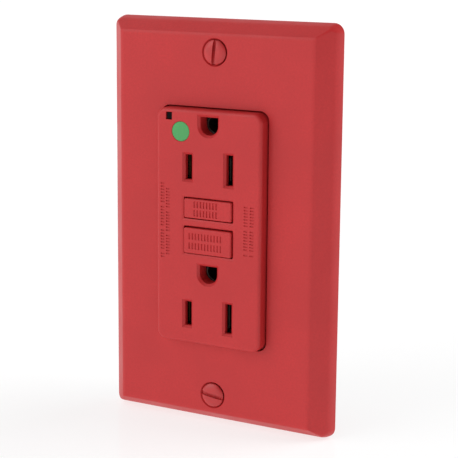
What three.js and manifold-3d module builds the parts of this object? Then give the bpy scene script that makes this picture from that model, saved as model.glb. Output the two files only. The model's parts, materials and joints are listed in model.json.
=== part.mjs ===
// Ground-fault duplex receptacle with a single-gang wall plate, as an assembly of separate pieces.
// Units are millimetres. Seen from the front, X points right, Y points into the wall and Z points up.
// The origin is on the wall plane behind the centre of the plate, and the front faces -Y.
// A pair such as [from, to] is the span of a piece along one axis.
import * as THREE from "three";
import { mergeVertices } from "three/addons/utils/BufferGeometryUtils.js";
import Module from "manifold-3d";

const wasm = await Module();
wasm.setup();

// ---------------------------------------------------------------- Driving dimensions
const GAP = 0.3; // clearance between neighbouring pieces
const RUN = 0.5; // how far a cutting tool runs past the face that it opens

// Wall plate. A section row is half width, half height, corner radius and y, from the wall forward.
const PLATE = {
  front: -7.1,
  windowHalfWidth: 16.7,
  windowHalfHeight: 33.4,
  windowRadius: 2.7,
  screwZ: 48.42,
  bossRadius: 2.9,
  boss: [-5.1, -1.6],
  seatRadius: 3.9,
  seatDepth: 2.5,
  holeRadius: 2.0,
  outside: [
    [34.925, 57.15, 2.9, 0],
    [34.6, 56.9, 2.6, -1.4],
    [34.1, 56.55, 2.2, -2.7],
    [33.6, 56.25, 1.7, -3.4],
    [32.9, 55.8, 0.7, -4.05],
    [30.2, 53.8, 0.2, -6.75],
    [29.8, 53.45, 0.2, -6.95],
    [28.8, 52.6, 0.2, -7.1],
  ],
  inside: [
    [33.0, 55.2, 1.4, 0.5],
    [32.7, 54.9, 1.3, -2.0],
    [28.6, 51.8, 0.6, -4.8],
  ],
};

// Raised device face, and the flange behind the plate that carries it.
const FACE = {
  halfWidth: 16.3,
  halfHeight: 33.0,
  cornerRadius: 2.7,
  edgeRadius: 1.1,
  front: -10.5,
  innerFace: -8.5,
  innerHalfWidth: 14.3,
  innerHalfHeight: 31.0,
  flangeHalfWidth: 21.0,
  flangeHalfHeight: 34.4,
  flangeRadius: 1.5,
  flangeFront: -4.4,
  flangeBack: -1.6,
};

// Blade slots and ground holes. The hot slot is the short one, on -X.
const OUTLET = {
  slotLines: [16.95, -24.6],
  slotX: 6.35,
  slotHalfWidth: 1.02,
  slotHalfHeight: { hot: 3.48, neutral: 4.22 },
  slotCornerRadius: 0.08,
  bevel: 0.68,
  groundCentres: [28.8, -12.65],
  groundRadius: 2.74,
  groundFlat: 2.25,
  collarRadius: 3.9,
  collarBack: -6.2,
};

const INDICATOR = {
  x: -12.3,
  z: 30.8,
  window: [0.98, 1.08],
  lens: [0.78, 0.88],
  front: -10.1,
  back: 23.8,
  passage: 1.4,
};
const MARKER = { x: -8.6, z: 26.7, radius: 2.7, depth: 0.75, pocketRadius: 2.95, pocketDepth: 1.0 };

// Push buttons: wells in the face with a shallow bevel, and the caps inside them.
const WELL = { halfWidth: 7.7, radius: 0.35, bevel: 0.68, bevelDepth: 0.35 };
const TEST = { z: 5.575, halfHeight: 2.725, wellZ: 5.575, wellHalfHeight: 3.045, proud: 0.25 };
const RESET = { z: -3.5, halfHeight: 3.6, wellZ: -3.425, wellHalfHeight: 3.925, proud: 0.35 };
const CAP = { halfWidth: 7.4, radius: 0.5, edgeRadius: 0.45, lip: 0.8, flange: [-6.5, -5.7] };
const STEM = { radius: 1.2, back: -4.7 };
const LEAF = { x: [-1.8, 1.8], y: [-4.4, -4.0], z: [4.6, 18.8] };
const LEAF_POST = { x: [-2.2, 2.2], front: -3.7, z: [16.8, 19.8] };
const TEST_PIN = { radius: 0.6, holeRadius: 0.9, y: [-2.7, 10.4], z: 8.6 };

// Steel yoke strap that everything hangs on. Its back lies on the wall plane.
const STRAP = {
  y: [-1.3, 0],
  halfWidth: 21.0,
  halfHeight: 35.5,
  neckHalfWidth: 10.5,
  earHalfWidth: 17.5,
  ear: [44.0, 53.2],
  earBevel: 2.0,
  mountZ: 41.67,
  mountSlot: [3.6, 2.1],
  mountSlotRadius: 2.05,
  windowHalfWidth: 14.0,
  windowTop: 25.0,
  windowBottom: -30.0,
  bridge: [-19.6, -16.2],
  groundHoleRadius: 3.9,
  tabX: [-19, -10],
  tabBack: 10,
};
const GROUND_SCREW = { x: -14.5, y: 5.0 };
const RETAINER = { halfWidth: 4.5, halfHeight: 4.0, y: [0.3, 1.1] };
const THREAD_HOLE = 2.0; // clearance hole radius for the 3.2 mm screws

// Screws along Y with the head towards -Y. A profile row is radius and y.
const PLATE_SCREW = [
  [1.4, -7.75],
  [2.7, -7.5],
  [3.4, -7.1],
  [3.4, -6.9],
  [1.6, -5.1],
  [1.6, 5.2],
  [1.1, 5.8],
];
const MOUNTING_SCREW = [[2.6, -3.3], [3.5, -2.8], [3.5, -1.7], [1.6, -1.6], [1.6, 18.4], [1.0, 19.2]];
const TERMINAL_SCREW = [[3.0, -2.2], [3.6, -1.7], [3.6, 0], [1.65, 0.01], [1.65, 4.1], [1.3, 4.5]];
const GROUND_SCREW_PROFILE = [[3.1, -2.2], [3.8, -1.7], [3.8, 0], [1.65, 0.01], [1.65, 2.0], [1.3, 2.4]];
const SCREW_SLOT = { halfWidth: 0.5, depth: 1.0 };
const PLATE_SCREW_TURN = { top: 5.5, bottom: 98 }; // degrees, as the slots came to rest

// Contacts behind the face.
const GROUND_SLEEVE = { inner: 2.4, outer: 2.9, y: [-5.9, 1.1], slitHalfWidth: 0.5, slitBack: -1.6 };
const GROUND_TAB = { x: [-4.5, 4.5], y: [0.3, 1.1], upperZ: [26.4, 31.9], lowerZ: [-19.3, -11.0] };
const CLIP = {
  innerLeaf: [4.95, 5.55],
  outerLeaf: [7.15, 7.75],
  leafY: [-7.4, 3.4],
  webY: [3.0, 3.8],
  halfHeight: 3.2,
  spineX: [10.2, 11.0],
  spineY: [-6.0, -1.8],
  spineZ: [-28.0, 20.5],
  bridgeY: [-2.6, -1.8],
  legBack: 6.8,
};

// Divider between the contacts and the mechanism.
const DIVIDER = {
  y: [4.4, 5.8],
  halfWidth: 18.9,
  halfHeight: 26.7,
  endHalfWidth: 13.6,
  endHalfHeight: 31.8,
  barrierX: [12.0, 13.2],
  barrierFront: 0.6,
  barrierZ: [-26.0, 24.0],
  contactWindowX: [5.0, 7.4],
  contactWindowHalfHeight: 2.0,
  lensNotch: { x: [-15, -11.2], z: [29.4, 32.5] },
};

// Rear housing. Its cavity is widest at the front and in the middle, between the terminal pockets.
const BODY = {
  y: [0.3, 30.0],
  halfWidth: 21.0,
  halfHeight: 34.0,
  edge: 0.6,
  cornerRadius: 1.6,
  frontDepth: 8.2,
  wideHalfWidth: 19.3,
  wideHalfHeight: 27.0,
  narrowHalfWidth: 12.6,
  cavityHalfHeight: 32.2,
  cavityBack: 28.4,
  middleHalfHeight: 11.5,
  endHalfWidth: 13.9,
  endFrom: 28.0,
  postX: 14.2,
  groundRelief: { halfWidth: 3.0, depth: 1.2 },
};
const CASE_SCREW = {
  x: 17.2,
  z: 30.2,
  radius: 1.5,
  headRadius: 2.4,
  headBack: 29.7,
  headDepth: 1.4,
  tip: -3.6,
};
const CROSS_SOCKET = { halfWidth: 0.35, reach: 1.5, depth: 0.8 };

// Wire terminals: a plate in each side pocket, with a captive screw outside and a clamp plate inside.
const TERMINAL = {
  z: 21.0,
  pocketX: [13.9, 21.5],
  pocketY: [9.5, 21.5],
  pocketHalfHeight: 5.8,
  plateX: [17.6, 18.4],
  plateY: [10.0, 21.0],
  plateHalfHeight: 5.0,
  neckHalfHeight: 2.0,
  tabY: [6.2, 7.0],
  screwY: 15.5,
  clampX: [16.3, 17.3],
  clampY: [11.2, 20.2],
  clampHalfHeight: 4.6,
  prongX: [11.0, 11.8],
  prongHalfHeight: 1.5,
  wireHole: { x: 16.0, radius: 1.3, spread: 2.8 },
};
const RIVET = { z: -6.0, halfHeight: 1.4, hotX: 6.2, loadX: 9.8, stripHalfWidth: 0.9, legHalfWidth: 0.4 };
const RIVET_HEAD = { radius: 1.3, fixed: [6.6, 7.2], moving: [7.5, 8.3] };

// Trip mechanism: the pin hangs on the reset button and runs through the lifter and the latch plate.
const PIN = {
  radius: 1.2,
  grooveRadius: 0.8,
  headRadius: 2.2,
  head: [-7.4, -6.8],
  groove: [10.2, 11.8],
  tip: 15.0,
};
const PIN_TAPER = { groove: 0.4, tip: 1.4 };
const RESET_SPRING = { coil: 2.0, wire: 0.25, y: [-6.5, 4.1], turns: 6 };
const SPRING_POCKET = { radius: 3.0, front: -7.7 };
const LIFTER = {
  y: [9.0, 13.0],
  halfWidth: 4.4,
  z: [-8.0, 1.0],
  wingX: 10.8,
  wingY: [9.0, 11.0],
  wingZ: [-4.5, -2.5],
};
const LATCH = {
  y: [10.6, 11.4],
  halfWidth: 3.2,
  z: [-9.8, 0.2],
  legZ: [-10.3, -9.5],
  legBack: 21.5,
  travel: 1.2,
  forkHalfWidth: 1.3,
  forkFront: 15.6,
};
const ARM = { y: [8.2, 8.7], z: [-7.6, 12.5], beamX: [5.4, 8.2], padX: [4.9, 11.1], padTop: -2.0 };
const BUS = { x: [1.0, 2.4], footX: [1.0, 8.2], halfHeight: 1.2 };

// Solenoid, on an axis along Z.
const SOLENOID = {
  y: 19.0,
  z: [-30.8, -16.6],
  flange: 1.0,
  flangeRadius: 6.0,
  hubRadius: 3.2,
  boreRadius: 2.3,
};
const SOLENOID_FOOT = 2.0; // half width
const WINDING = { outer: 5.5, inset: 1.3 };
const YOKE = { halfWidth: 5.0, y: [11.9, 25.4], sheet: 0.8 };
const PLUNGER = [[2.0, -29.0], [2.0, -14.5], [1.0, -14.49], [1.0, -9.2], [1.9, -9.19], [1.9, -8.2]];
const PLUNGER_SPRING = { coil: 2.65, wire: 0.2, z: [-15.2, -10.6], turns: 3 };

// Circuit board, current transformers and the larger components.
const BOARD = {
  y: [26.2, 27.8],
  halfWidth: 12.2,
  halfHeight: 31.5,
  wingX: 18.8,
  wingZ: 11.0,
  ledX: -13.5,
  ledZ: 28.4,
};
const TRANSFORMER = {
  z: 18.0,
  shell: 10.2,
  shellY: [11.0, 22.5],
  trough: [4.2, 9.0],
  troughBack: 20.8,
  bore: 3.2,
  core: [4.6, 8.6],
  senseY: [11.9, 15.9],
  neutralY: [16.4, 20.4],
  footX: [6.5, 8.5],
  footHalfHeight: 2.0,
};
const VARISTOR = {
  profile: [[4.2, 14.0], [5.0, 14.5], [5.0, 16.7], [4.2, 17.2]],
  y: 18.0,
  leadX: 15.6,
  leadFront: 21.0,
  leadZ: [-2.5, 2.5],
};
const CAPACITOR = { x: [-17.8, -13.6], y: [15.0, 24.6], z: [-4.5, 5.5], leadX: -15.7, leadZ: [-2.5, 3.5] };
const LEAD_RADIUS = 0.4;
const CHIP = {
  x: [-3.8, 3.8],
  y: [24.2, 25.4],
  z: [-6.0, 5.0],
  legX: [3.6, 4.9],
  legY: [24.9, 25.9],
  legZ: [-4.3, -1.8, 0.8, 3.3],
  legHalfHeight: 0.3,
};
const RESISTOR = {
  profile: [[0.9, -2.4], [1.2, -1.9], [1.0, -1.3], [1.0, 1.3], [1.2, 1.9], [0.9, 2.4]],
  centre: [9.6, 23.6, 3.0],
  wireRadius: 0.35,
  wireReach: 4.0,
  legReach: 3.6,
};
const LED = { halfWidth: 0.9, front: 24.2, z: [29.5, 31.4] };

// ---------------------------------------------------------------- Materials
function finish(color, roughness, metalness) {
  return new THREE.MeshStandardMaterial({ color, roughness, metalness });
}

const redPlastic = finish(0xc44244, 0.42, 0);
const greenPlastic = finish(0x54b06c, 0.5, 0);
const smokedPlastic = finish(0x14110f, 0.2, 0);
const blackPlastic = finish(0x222326, 0.5, 0);
const greyPlastic = finish(0x8d9094, 0.5, 0);
const whitePlastic = finish(0xe6e3da, 0.5, 0);
const redEnamel = finish(0xb93a3c, 0.35, 0.2);
const greenEnamel = finish(0x2f7a45, 0.4, 0.4);
const zincSteel = finish(0xb9bcbe, 0.35, 1);
const springSteel = finish(0xa4a7aa, 0.3, 1);
const brass = finish(0xc9a24c, 0.3, 1);
const nickelBrass = finish(0xc7c6c0, 0.3, 1);
const copper = finish(0xb5673a, 0.35, 1);
const ferrite = finish(0x3a3b3f, 0.7, 0);
const fibreBoard = finish(0xb79a70, 0.9, 0);
const laminate = finish(0x2c6b3c, 0.5, 0);
const blueResin = finish(0x2b5fa8, 0.4, 0);
const tanResin = finish(0xc7a878, 0.5, 0);

// ---------------------------------------------------------------- Solids
const SMALL = 12; // sides of a small round piece or hole
const LARGE = 24; // sides of a large round piece

// A closed geometry as a solid that can be joined and cut.
function solid(geometry) {
  const bare = geometry.index ? geometry.toNonIndexed() : geometry.clone();
  bare.deleteAttribute("normal");
  bare.deleteAttribute("uv");
  const merged = mergeVertices(bare, 1e-4);
  const mesh = new wasm.Mesh({
    numProp: 3,
    vertProperties: merged.attributes.position.array,
    triVerts: new Uint32Array(merged.index.array),
  });
  return new wasm.Manifold(mesh);
}

// A block between two values on each axis.
function block([x0, x1], [y0, y1], [z0, z1]) {
  const geometry = new THREE.BoxGeometry(x1 - x0, y1 - y0, z1 - z0);
  geometry.translate((x0 + x1) / 2, (y0 + y1) / 2, (z0 + z1) / 2);
  return solid(geometry);
}

// A span around a centre.
function around(centre, half) {
  return [centre - half, centre + half];
}

// A span made longer at both ends.
function past([from, to], extra = RUN) {
  return [from - extra, to + extra];
}

// A span on the -X or +X side of the mirror plane X = 0.
function onSide(side, [inner, outer]) {
  return side > 0 ? [inner, outer] : [-outer, -inner];
}

// A turned piece. The profile rows are radius and distance along the axis, in rising order.
function turned(axis, profile, centre = [0, 0, 0], sides = SMALL) {
  const ends = [profile[0], profile.at(-1)].map(([, along]) => [0, along]);
  const points = [ends[0], ...profile, ends[1]].map(([radius, along]) => new THREE.Vector2(radius, along));
  const geometry = new THREE.LatheGeometry(points, sides);
  if (axis === "x") geometry.rotateZ(-Math.PI / 2);
  if (axis === "z") geometry.rotateX(Math.PI / 2);
  geometry.translate(...centre);
  return solid(geometry);
}

function rod(axis, radius, [from, to], centre, sides) {
  return turned(axis, [[radius, from], [radius, to]], centre, sides);
}

// A rod with a round hole along it.
function tube(axis, [inner, outer], span, centre, sides) {
  return rod(axis, outer, span, centre, sides).subtract(rod(axis, inner, past(span), centre, sides));
}

// An open coil spring between two values on its axis.
function coilSpring(axis, { coil, wire, turns }, [from, to], centre) {
  const stepsPerTurn = 10;
  const steps = turns * stepsPerTurn;
  const route = [];
  for (let step = 0; step <= steps; step += 1) {
    const angle = (step / stepsPerTurn) * 2 * Math.PI;
    const along = from + wire + ((to - from - 2 * wire) * step) / steps;
    route.push(new THREE.Vector3(coil * Math.cos(angle), along, coil * Math.sin(angle)));
  }
  const section = new THREE.Shape();
  section.absarc(0, 0, wire, 0, 2 * Math.PI);
  const extrudePath = new THREE.CatmullRomCurve3(route);
  const geometry = new THREE.ExtrudeGeometry(section, { steps, curveSegments: 3, extrudePath });
  if (axis === "z") geometry.rotateX(Math.PI / 2);
  geometry.translate(...centre);
  return solid(geometry);
}

// A sheet-metal outline in X and Z, with a thickness along Y.
function sheet(outline, [from, to]) {
  const geometry = new THREE.ExtrudeGeometry(outline, { depth: to - from, bevelEnabled: false });
  geometry.rotateX(Math.PI / 2);
  geometry.translate(0, to, 0);
  return solid(geometry);
}

// Points round a rectangle with round corners, anticlockwise seen from -Y.
function roundedRing(halfWidth, halfHeight, radius, x = 0, z = 0, steps = 3) {
  const corners = [[1, -1, -90], [1, 1, 0], [-1, 1, 90], [-1, -1, 180]];
  const ring = [];
  for (const [signX, signZ, startDegrees] of corners) {
    for (let step = 0; step <= steps; step += 1) {
      const angle = THREE.MathUtils.degToRad(startDegrees + (90 * step) / steps);
      const cornerX = x + signX * (halfWidth - radius);
      const cornerZ = z + signZ * (halfHeight - radius);
      ring.push([cornerX + radius * Math.cos(angle), cornerZ + radius * Math.sin(angle)]);
    }
  }
  return ring;
}

// Points round a ground-pin opening: flat on top and half round below.
function groundRing(radius, flat, z, steps = 10) {
  const ring = [[radius, z + flat], [-radius, z + flat]];
  for (let step = 0; step <= steps; step += 1) {
    const angle = Math.PI + (Math.PI * step) / steps;
    ring.push([radius * Math.cos(angle), z + radius * Math.sin(angle)]);
  }
  return ring;
}

// A closed skin over rings of equal length, given from the back (largest y) to the front.
function lofted(layers) {
  const count = layers[0].ring.length;
  const corners = [];
  const corner = (layer, index) => {
    const [x, z] = layers[layer].ring[index % count];
    return [x, layers[layer].y, z];
  };
  const triangle = (a, b, c) => corners.push(...a, ...b, ...c);
  for (let index = 0; index < count; index += 1) {
    for (let layer = 0; layer + 1 < layers.length; layer += 1) {
      triangle(corner(layer, index), corner(layer, index + 1), corner(layer + 1, index + 1));
      triangle(corner(layer, index), corner(layer + 1, index + 1), corner(layer + 1, index));
    }
  }
  const front = layers.length - 1;
  for (let index = 1; index + 1 < count; index += 1) {
    triangle(corner(front, 0), corner(front, index), corner(front, index + 1));
    triangle(corner(0, 0), corner(0, index + 1), corner(0, index));
  }
  const geometry = new THREE.BufferGeometry();
  geometry.setAttribute("position", new THREE.Float32BufferAttribute(corners, 3));
  return solid(geometry);
}

// One ring carried straight along Y.
function prism(ring, [front, back]) {
  return lofted([{ ring, y: back }, { ring, y: front }]);
}

// A block with round corners and a rounded front edge.
function pillow(halfWidth, halfHeight, cornerRadius, edgeRadius, [front, back], z = 0) {
  const edgeSteps = 3;
  const sharpest = 0.15;
  const layers = [{ ring: roundedRing(halfWidth, halfHeight, cornerRadius, 0, z), y: back }];
  for (let step = 0; step <= edgeSteps; step += 1) {
    const angle = ((Math.PI / 2) * step) / edgeSteps;
    const inset = edgeRadius * (1 - Math.cos(angle));
    const radius = Math.max(cornerRadius - inset, sharpest);
    const ring = roundedRing(halfWidth - inset, halfHeight - inset, radius, 0, z);
    layers.push({ ring, y: front + edgeRadius * (1 - Math.sin(angle)) });
  }
  return lofted(layers);
}

function union(pieces) {
  return pieces.reduce((whole, piece) => whole.add(piece));
}

function cut(piece, tools) {
  return tools.reduce((rest, tool) => rest.subtract(tool), piece);
}

// A slotted screw along Y with its head towards -Y.
function slottedScrew(profile) {
  const [, headFront] = profile[0];
  const reach = Math.max(...profile.map(([radius]) => radius)) + RUN;
  const { halfWidth, depth } = SCREW_SLOT;
  const slot = block(around(0, halfWidth), [headFront - RUN, headFront + depth], around(0, reach));
  return turned("y", profile, [0, 0, 0], 16).subtract(slot);
}

const root = new THREE.Group();

// Adds a solid to the assembly as a named mesh.
function place(name, material, piece, position = [0, 0, 0], rotation = [0, 0, 0]) {
  const { vertProperties, triVerts } = piece.getMesh();
  const geometry = new THREE.BufferGeometry();
  geometry.setAttribute("position", new THREE.BufferAttribute(vertProperties, 3));
  geometry.setIndex(new THREE.BufferAttribute(triVerts, 1));
  geometry.computeVertexNormals();
  const mesh = new THREE.Mesh(geometry, material);
  mesh.name = name;
  mesh.position.set(...position);
  mesh.rotation.set(...rotation);
  root.add(mesh);
}

const SIDES = [
  { side: -1, pole: "hot", metal: brass },
  { side: 1, pole: "neutral", metal: nickelBrass },
];
const ENDS = [
  { end: 1, label: "top" },
  { end: -1, label: "bottom" },
];
const CORNERS = ENDS.flatMap(({ end }) => SIDES.map(({ side }) => ({ side, end })));

// ---------------------------------------------------------------- Wall plate
function sectionLayers(rows) {
  return rows.map(([halfWidth, halfHeight, radius, y]) => {
    const ring = roundedRing(halfWidth, halfHeight, radius);
    return { ring, y };
  });
}

// A countersunk hole for a plate screw.
function screwSeat(z) {
  const { front, seatRadius, seatDepth, holeRadius } = PLATE;
  const slope = (seatRadius - holeRadius) / seatDepth;
  return turned("y", [
    [seatRadius + slope * RUN, front - RUN],
    [holeRadius, front + seatDepth],
    [holeRadius, RUN],
  ], [0, 0, z], 20);
}

function wallplate() {
  const { front, windowHalfWidth, windowHalfHeight, windowRadius, screwZ, bossRadius, boss } = PLATE;
  const shell = lofted(sectionLayers(PLATE.outside)).subtract(lofted(sectionLayers(PLATE.inside)));
  const bosses = ENDS.map(({ end }) => rod("y", bossRadius, boss, [0, 0, end * screwZ], 20));
  const windowRing = roundedRing(windowHalfWidth, windowHalfHeight, windowRadius);
  const seats = ENDS.map(({ end }) => screwSeat(end * screwZ));
  return cut(union([shell, ...bosses]), [prism(windowRing, past([front, 0])), ...seats]);
}

place("wallplate", redPlastic, wallplate());
for (const { end, label } of ENDS) {
  const turn = THREE.MathUtils.degToRad(PLATE_SCREW_TURN[label]);
  const centre = [0, 0, end * PLATE.screwZ];
  place(`plate_screw_${label}`, redEnamel, slottedScrew(PLATE_SCREW), centre, [0, turn, 0]);
}

// ---------------------------------------------------------------- Face cover
// An opening through the face with a bevelled mouth, from its outer ring and its inner ring.
function bevelledOpening(outerRing, innerRing, depth, back = FACE.innerFace) {
  const proud = 0.01;
  const mouth = lofted([
    { ring: innerRing, y: FACE.front + depth },
    { ring: outerRing, y: FACE.front - proud },
  ]);
  return mouth.add(prism(innerRing, past([FACE.front, back])));
}

function slotOpening(side, pole, z) {
  const { slotX, slotHalfWidth, slotHalfHeight, slotCornerRadius, bevel } = OUTLET;
  const ring = (grow) =>
    roundedRing(slotHalfWidth + grow, slotHalfHeight[pole] + grow, slotCornerRadius, side * slotX, z, 1);
  return bevelledOpening(ring(bevel), ring(0), bevel);
}

function groundOpening(z) {
  const { groundRadius, groundFlat, bevel, collarBack } = OUTLET;
  const ring = (grow) => groundRing(groundRadius + grow, groundFlat + grow, z);
  return bevelledOpening(ring(bevel), ring(0), bevel, collarBack);
}

function wellOpening({ wellZ, wellHalfHeight }) {
  const { halfWidth, radius, bevel, bevelDepth } = WELL;
  const ring = (grow) => roundedRing(halfWidth + grow, wellHalfHeight + grow, radius, 0, wellZ);
  return bevelledOpening(ring(bevel), ring(0), bevelDepth);
}

function faceCover() {
  const { halfWidth, halfHeight, cornerRadius, edgeRadius, front, innerFace, flangeBack } = FACE;
  const raised = pillow(halfWidth, halfHeight, cornerRadius, edgeRadius, [front, flangeBack]);
  const flangeRing = roundedRing(FACE.flangeHalfWidth, FACE.flangeHalfHeight, FACE.flangeRadius);
  const flange = prism(flangeRing, [FACE.flangeFront, flangeBack]);
  const cavity = block(
    around(0, FACE.innerHalfWidth),
    [innerFace, flangeBack + RUN],
    around(0, FACE.innerHalfHeight),
  );
  const collars = OUTLET.groundCentres.map((z) =>
    rod("y", OUTLET.collarRadius, [innerFace - RUN, OUTLET.collarBack], [0, 0, z], 20),
  );
  const { x, z, passage } = INDICATOR;
  const [windowHalfWidth, windowHalfHeight] = INDICATOR.window;
  const windowRing = roundedRing(windowHalfWidth, windowHalfHeight, OUTLET.slotCornerRadius, x, z, 1);
  const indicatorWindow = prism(windowRing, past([front, innerFace]));
  const lensPassage = block(around(x, passage), [innerFace, flangeBack + RUN], around(z, passage));
  const markerPocket = rod(
    "y",
    MARKER.pocketRadius,
    [front - RUN, front + MARKER.pocketDepth],
    [MARKER.x, 0, MARKER.z],
    LARGE,
  );
  const screwHoles = CORNERS.map(({ side, end }) => {
    const centre = [side * CASE_SCREW.x, 0, end * CASE_SCREW.z];
    return rod("y", CASE_SCREW.radius + GAP, [CASE_SCREW.tip - GAP, 0], centre);
  });
  const sleeveRooms = OUTLET.groundCentres.map((groundZ) =>
    rod("y", GROUND_SLEEVE.outer + GAP, [OUTLET.collarBack, flangeBack + RUN], [0, 0, groundZ], 20),
  );
  const slots = OUTLET.slotLines.flatMap((line) =>
    SIDES.map(({ side, pole }) => slotOpening(side, pole, line)),
  );
  return cut(cut(raised.add(flange), [cavity]).add(union(collars)), [
    indicatorWindow,
    lensPassage,
    markerPocket,
    ...sleeveRooms,
    ...screwHoles,
    ...slots,
    ...OUTLET.groundCentres.map(groundOpening),
    wellOpening(TEST),
    wellOpening(RESET),
  ]);
}

function indicatorLens() {
  const { x, z, lens, front, back } = INDICATOR;
  return block(around(x, lens[0]), [front, back], around(z, lens[1]));
}

function gradeMarkerDot() {
  return rod("y", MARKER.radius, [FACE.front, FACE.front + MARKER.depth], [MARKER.x, 0, MARKER.z], LARGE);
}

place("face_cover", redPlastic, faceCover());
place("indicator_lens", smokedPlastic, indicatorLens());
place("grade_marker_dot", greenPlastic, gradeMarkerDot());

// ---------------------------------------------------------------- Push buttons
function buttonCap({ z, halfHeight, proud }) {
  const { halfWidth, radius, edgeRadius, lip, flange } = CAP;
  const cap = pillow(halfWidth, halfHeight, radius, edgeRadius, [FACE.front - proud, flange[1]], z);
  return cap.add(block(around(0, halfWidth + lip), flange, around(z, halfHeight + lip)));
}

function testButton() {
  return buttonCap(TEST).add(rod("y", STEM.radius, [CAP.flange[1] - RUN, STEM.back], [0, 0, TEST.z]));
}

function resetButton() {
  const { radius, front } = SPRING_POCKET;
  return buttonCap(RESET).subtract(rod("y", radius, [front, CAP.flange[1] + RUN], [0, 0, RESET.z], 16));
}

function resetPin() {
  const { radius, grooveRadius, headRadius, head, groove, tip } = PIN;
  return turned("y", [
    [headRadius, head[0]],
    [headRadius, head[1]],
    [radius, head[1]],
    [radius, groove[0]],
    [grooveRadius, groove[0] + PIN_TAPER.groove],
    [grooveRadius, groove[1] - PIN_TAPER.groove],
    [radius, groove[1]],
    [radius, tip - PIN_TAPER.tip],
    [grooveRadius, tip],
  ], [0, 0, RESET.z]);
}

place("test_button", redPlastic, testButton());
place("reset_button", redPlastic, resetButton());
place("reset_pin", springSteel, resetPin());
place("reset_spring", springSteel, coilSpring("y", RESET_SPRING, RESET_SPRING.y, [0, 0, RESET.z]));
place("test_leaf_spring", copper, block(LEAF.x, LEAF.y, LEAF.z));
place("test_contact_pin", brass, rod("y", TEST_PIN.radius, TEST_PIN.y, [0, 0, TEST_PIN.z]));

// ---------------------------------------------------------------- Strap and its screws
function strapOutline() {
  const { halfWidth, halfHeight, neckHalfWidth, earHalfWidth, ear, earBevel } = STRAP;
  const quarter = [
    [halfWidth, halfHeight],
    [neckHalfWidth, halfHeight],
    [neckHalfWidth, ear[0]],
    [earHalfWidth, ear[0]],
    [earHalfWidth, ear[1] - earBevel],
    [earHalfWidth - earBevel, ear[1]],
  ];
  const back = quarter.toReversed();
  const points = [
    ...quarter.map(([x, z]) => new THREE.Vector2(x, z)),
    ...back.map(([x, z]) => new THREE.Vector2(-x, z)),
    ...quarter.map(([x, z]) => new THREE.Vector2(-x, -z)),
    ...back.map(([x, z]) => new THREE.Vector2(x, -z)),
  ];
  return new THREE.Shape(points);
}

function mountingStrap() {
  const { y, halfHeight, windowHalfWidth, windowTop, windowBottom, bridge, mountZ, tabX, tabBack } = STRAP;
  const through = past(y);
  const thickness = y[1] - y[0];
  const groundTab = block(tabX, [y[0], tabBack], [-halfHeight - thickness, -halfHeight + GAP]);
  const windowX = around(0, windowHalfWidth);
  const holes = [
    block(windowX, through, [bridge[1], windowTop]),
    block(windowX, through, [windowBottom, bridge[0]]),
    rod("y", STRAP.groundHoleRadius, through, [0, 0, OUTLET.groundCentres[0]], 20),
    block(around(INDICATOR.x, INDICATOR.passage), through, around(INDICATOR.z, INDICATOR.passage)),
    rod("z", THREAD_HOLE, past([-halfHeight - thickness, -halfHeight]), [GROUND_SCREW.x, GROUND_SCREW.y, 0]),
    ...CORNERS.map(({ side, end }) =>
      rod("y", CASE_SCREW.radius + GAP, through, [side * CASE_SCREW.x, 0, end * CASE_SCREW.z]),
    ),
  ];
  for (const { end } of ENDS) {
    const [slotHalfLength, slotHalfHeight] = STRAP.mountSlot;
    const slotRing = roundedRing(slotHalfLength, slotHalfHeight, STRAP.mountSlotRadius, 0, end * mountZ, 5);
    holes.push(rod("y", THREAD_HOLE, through, [0, 0, end * PLATE.screwZ]));
    holes.push(prism(slotRing, through));
  }
  return cut(sheet(strapOutline(), y).add(groundTab), holes);
}

function screwRetainer() {
  const { halfWidth, halfHeight, y } = RETAINER;
  return block(around(0, halfWidth), y, around(0, halfHeight)).subtract(rod("y", THREAD_HOLE, past(y)));
}

place("mounting_strap", zincSteel, mountingStrap());
for (const { end, label } of ENDS) {
  const centre = [0, 0, end * STRAP.mountZ];
  place(`mounting_screw_${label}`, zincSteel, slottedScrew(MOUNTING_SCREW), centre);
  place(`screw_retainer_${label}`, fibreBoard, screwRetainer(), centre);
}
const groundSeat = -STRAP.halfHeight - (STRAP.y[1] - STRAP.y[0]) - GAP;
place(
  "ground_screw",
  greenEnamel,
  slottedScrew(GROUND_SCREW_PROFILE),
  [GROUND_SCREW.x, GROUND_SCREW.y, groundSeat],
  [Math.PI / 2, 0, 0],
);

// ---------------------------------------------------------------- Contacts behind the face
// A split sleeve for the ground pin, on a tab behind the strap.
function groundContact(z, tabZ) {
  const { inner, outer, y, slitHalfWidth, slitBack } = GROUND_SLEEVE;
  const sleeve = rod("y", outer, y, [0, 0, z], 16).add(block(GROUND_TAB.x, GROUND_TAB.y, tabZ));
  const bore = rod("y", inner, past(y), [0, 0, z], 16);
  const slit = block(around(0, slitHalfWidth), [y[0] - RUN, slitBack], [z - outer - RUN, z]);
  return cut(sleeve, [bore, slit]);
}

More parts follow.
